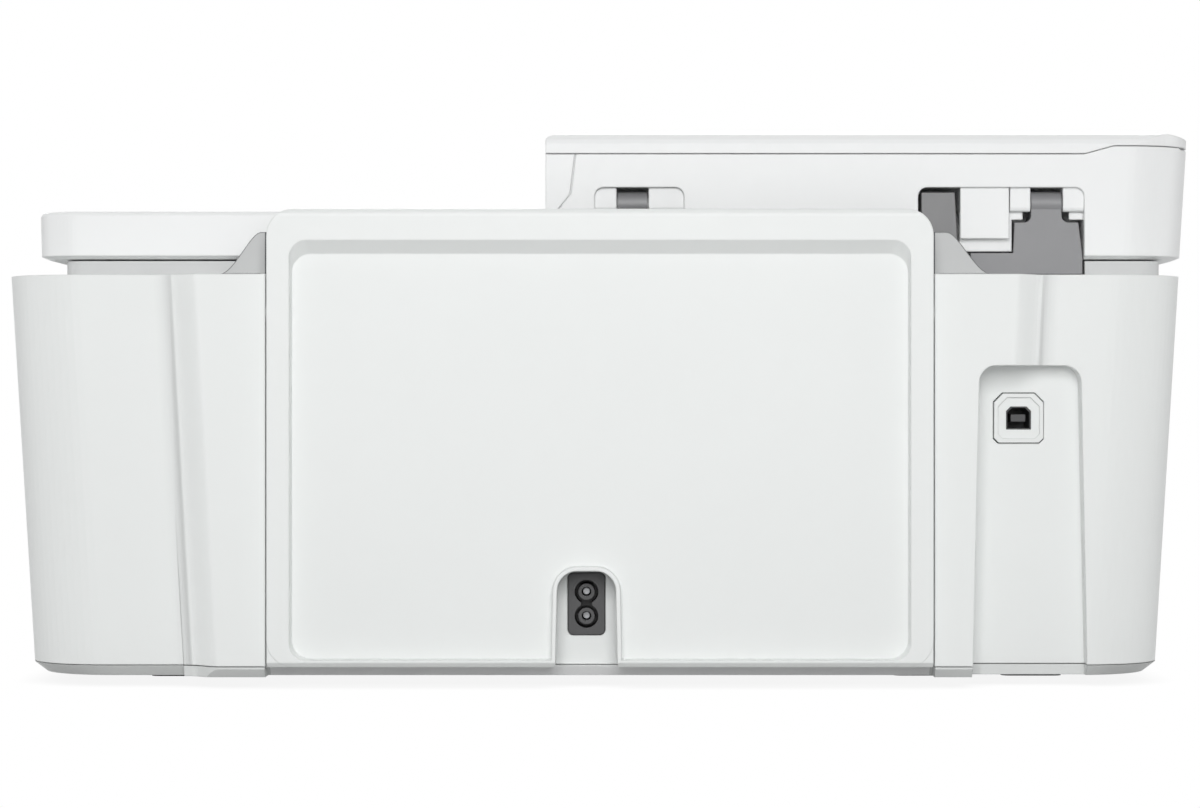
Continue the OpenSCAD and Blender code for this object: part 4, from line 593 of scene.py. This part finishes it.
def makeFloor():
    # matt white paper: seen as pure white, with a soft contact shadow
    half = floorLook["half"]
    mesh = bpy.data.meshes.new("paleFloor")
    mesh.from_pydata([(-half, -half, 0), (half, -half, 0), (half, half, 0), (-half, half, 0)], [],
                     [(0, 1, 2, 3)])
    floor = bpy.data.objects.new("paleFloor", mesh)
    bpy.context.collection.objects.link(floor)
    material, tree = newMaterial("mattWhitePaper")
    near = addNode(tree, "ShaderNodeAmbientOcclusion",
                   {"samples": 16, "Distance": floorLook["contact"] * mm})
    soft = addNode(tree, "ShaderNodeMapRange",
                   {"From Min": 0.1, "From Max": 0.9, "To Min": floorLook["darkest"], "To Max": 1.0},
                   {"Value": near.outputs["AO"]})
    seen = addNode(tree, "ShaderNodeEmission", {"Strength": 1.0}, {"Color": soft.outputs["Result"]})
    lit = addNode(tree, "ShaderNodeBsdfDiffuse", {"Color": toLinear(floorLook["colour"])})
    mix = addNode(tree, "ShaderNodeMixShader", {}, {0: directRays(tree), 1: lit.outputs["BSDF"],
                                                    2: seen.outputs["Emission"]})
    addNode(tree, "ShaderNodeOutputMaterial", {}, {"Surface": mix.outputs["Shader"]})
    mesh.materials.append(material)


worldLook = {"fill": "#f7f8f8", "level": 0.35, "background": "#ffffff"}


def makeWorld():
    # a faint even fill on the object, and pure white behind it
    world = bpy.data.worlds.new("whiteStudio")
    bpy.context.scene.world = world
    world.use_nodes = True
    tree = world.node_tree
    tree.nodes.clear()
    fill = addNode(tree, "ShaderNodeBackground",
                   {"Color": toLinear(worldLook["fill"]), "Strength": worldLook["level"]})
    seen = addNode(tree, "ShaderNodeBackground",
                   {"Color": toLinear(worldLook["background"]), "Strength": 1.0})
    mix = addNode(tree, "ShaderNodeMixShader", {}, {0: directRays(tree), 1: fill.outputs["Background"],
                                                    2: seen.outputs["Background"]})
    addNode(tree, "ShaderNodeOutputWorld", {}, {"Surface": mix.outputs["Shader"]})


# sizes and places in m
lamps = {
    "rearSoftbox": {"size": (0.8, 0.8), "at": (0.0, 1.6, 0.6), "aim": (0, 0.1, 0.1), "watts": 14.1},
    "leftSoftbox": {"size": (1.0, 1.2), "at": (1.9, 0.1, 0.5), "aim": (0, 0, 0.1), "watts": 5.8},
    "rightSoftbox": {"size": (1.0, 1.2), "at": (-1.9, 0.1, 0.5), "aim": (0, 0, 0.1), "watts": 5.8},
    "frontSoftbox": {"size": (1.6, 1.0), "at": (0.0, -1.6, 0.8), "aim": (0, -0.1, 0.1), "watts": 15},
    "topSoftbox": {"size": (1.4, 0.8), "at": (0.0, -0.6, 1.5), "aim": (0, 0, 0.1), "watts": 2},
}


def makeLamp(name, lamp):
    data = bpy.data.lights.new(name, "AREA")
    data.shape = "RECTANGLE"
    data.size, data.size_y = lamp["size"]
    data.energy = lamp["watts"]
    light = bpy.data.objects.new(name, data)
    bpy.context.collection.objects.link(light)
    light.location = lamp["at"]
    aim = Vector(lamp["aim"]) - Vector(lamp["at"])
    light.rotation_euler = aim.to_track_quat("-Z", "Y").to_euler()


# level with the object and square to its rear: place and clip in m, lens and sensor in mm
rearView = {"at": (0.002, 1.32, 0.1), "lens": 98.76, "sensor": 36, "clip": (0.05, 80)}


def makeCamera():
    data = bpy.data.cameras.new("rearView")
    data.lens = rearView["lens"]
    data.sensor_width = rearView["sensor"]
    data.clip_start, data.clip_end = rearView["clip"]
    camera = bpy.data.objects.new("rearView", data)
    bpy.context.collection.objects.link(camera)
    camera.location = rearView["at"]
    camera.rotation_euler = (math.pi / 2, 0, math.pi)
    bpy.context.scene.camera = camera


makeFloor()
makeWorld()
for name, lamp in lamps.items():
    makeLamp(name, lamp)
makeCamera()
bpy.context.scene.view_settings.view_transform = "Standard"
print("stage set")
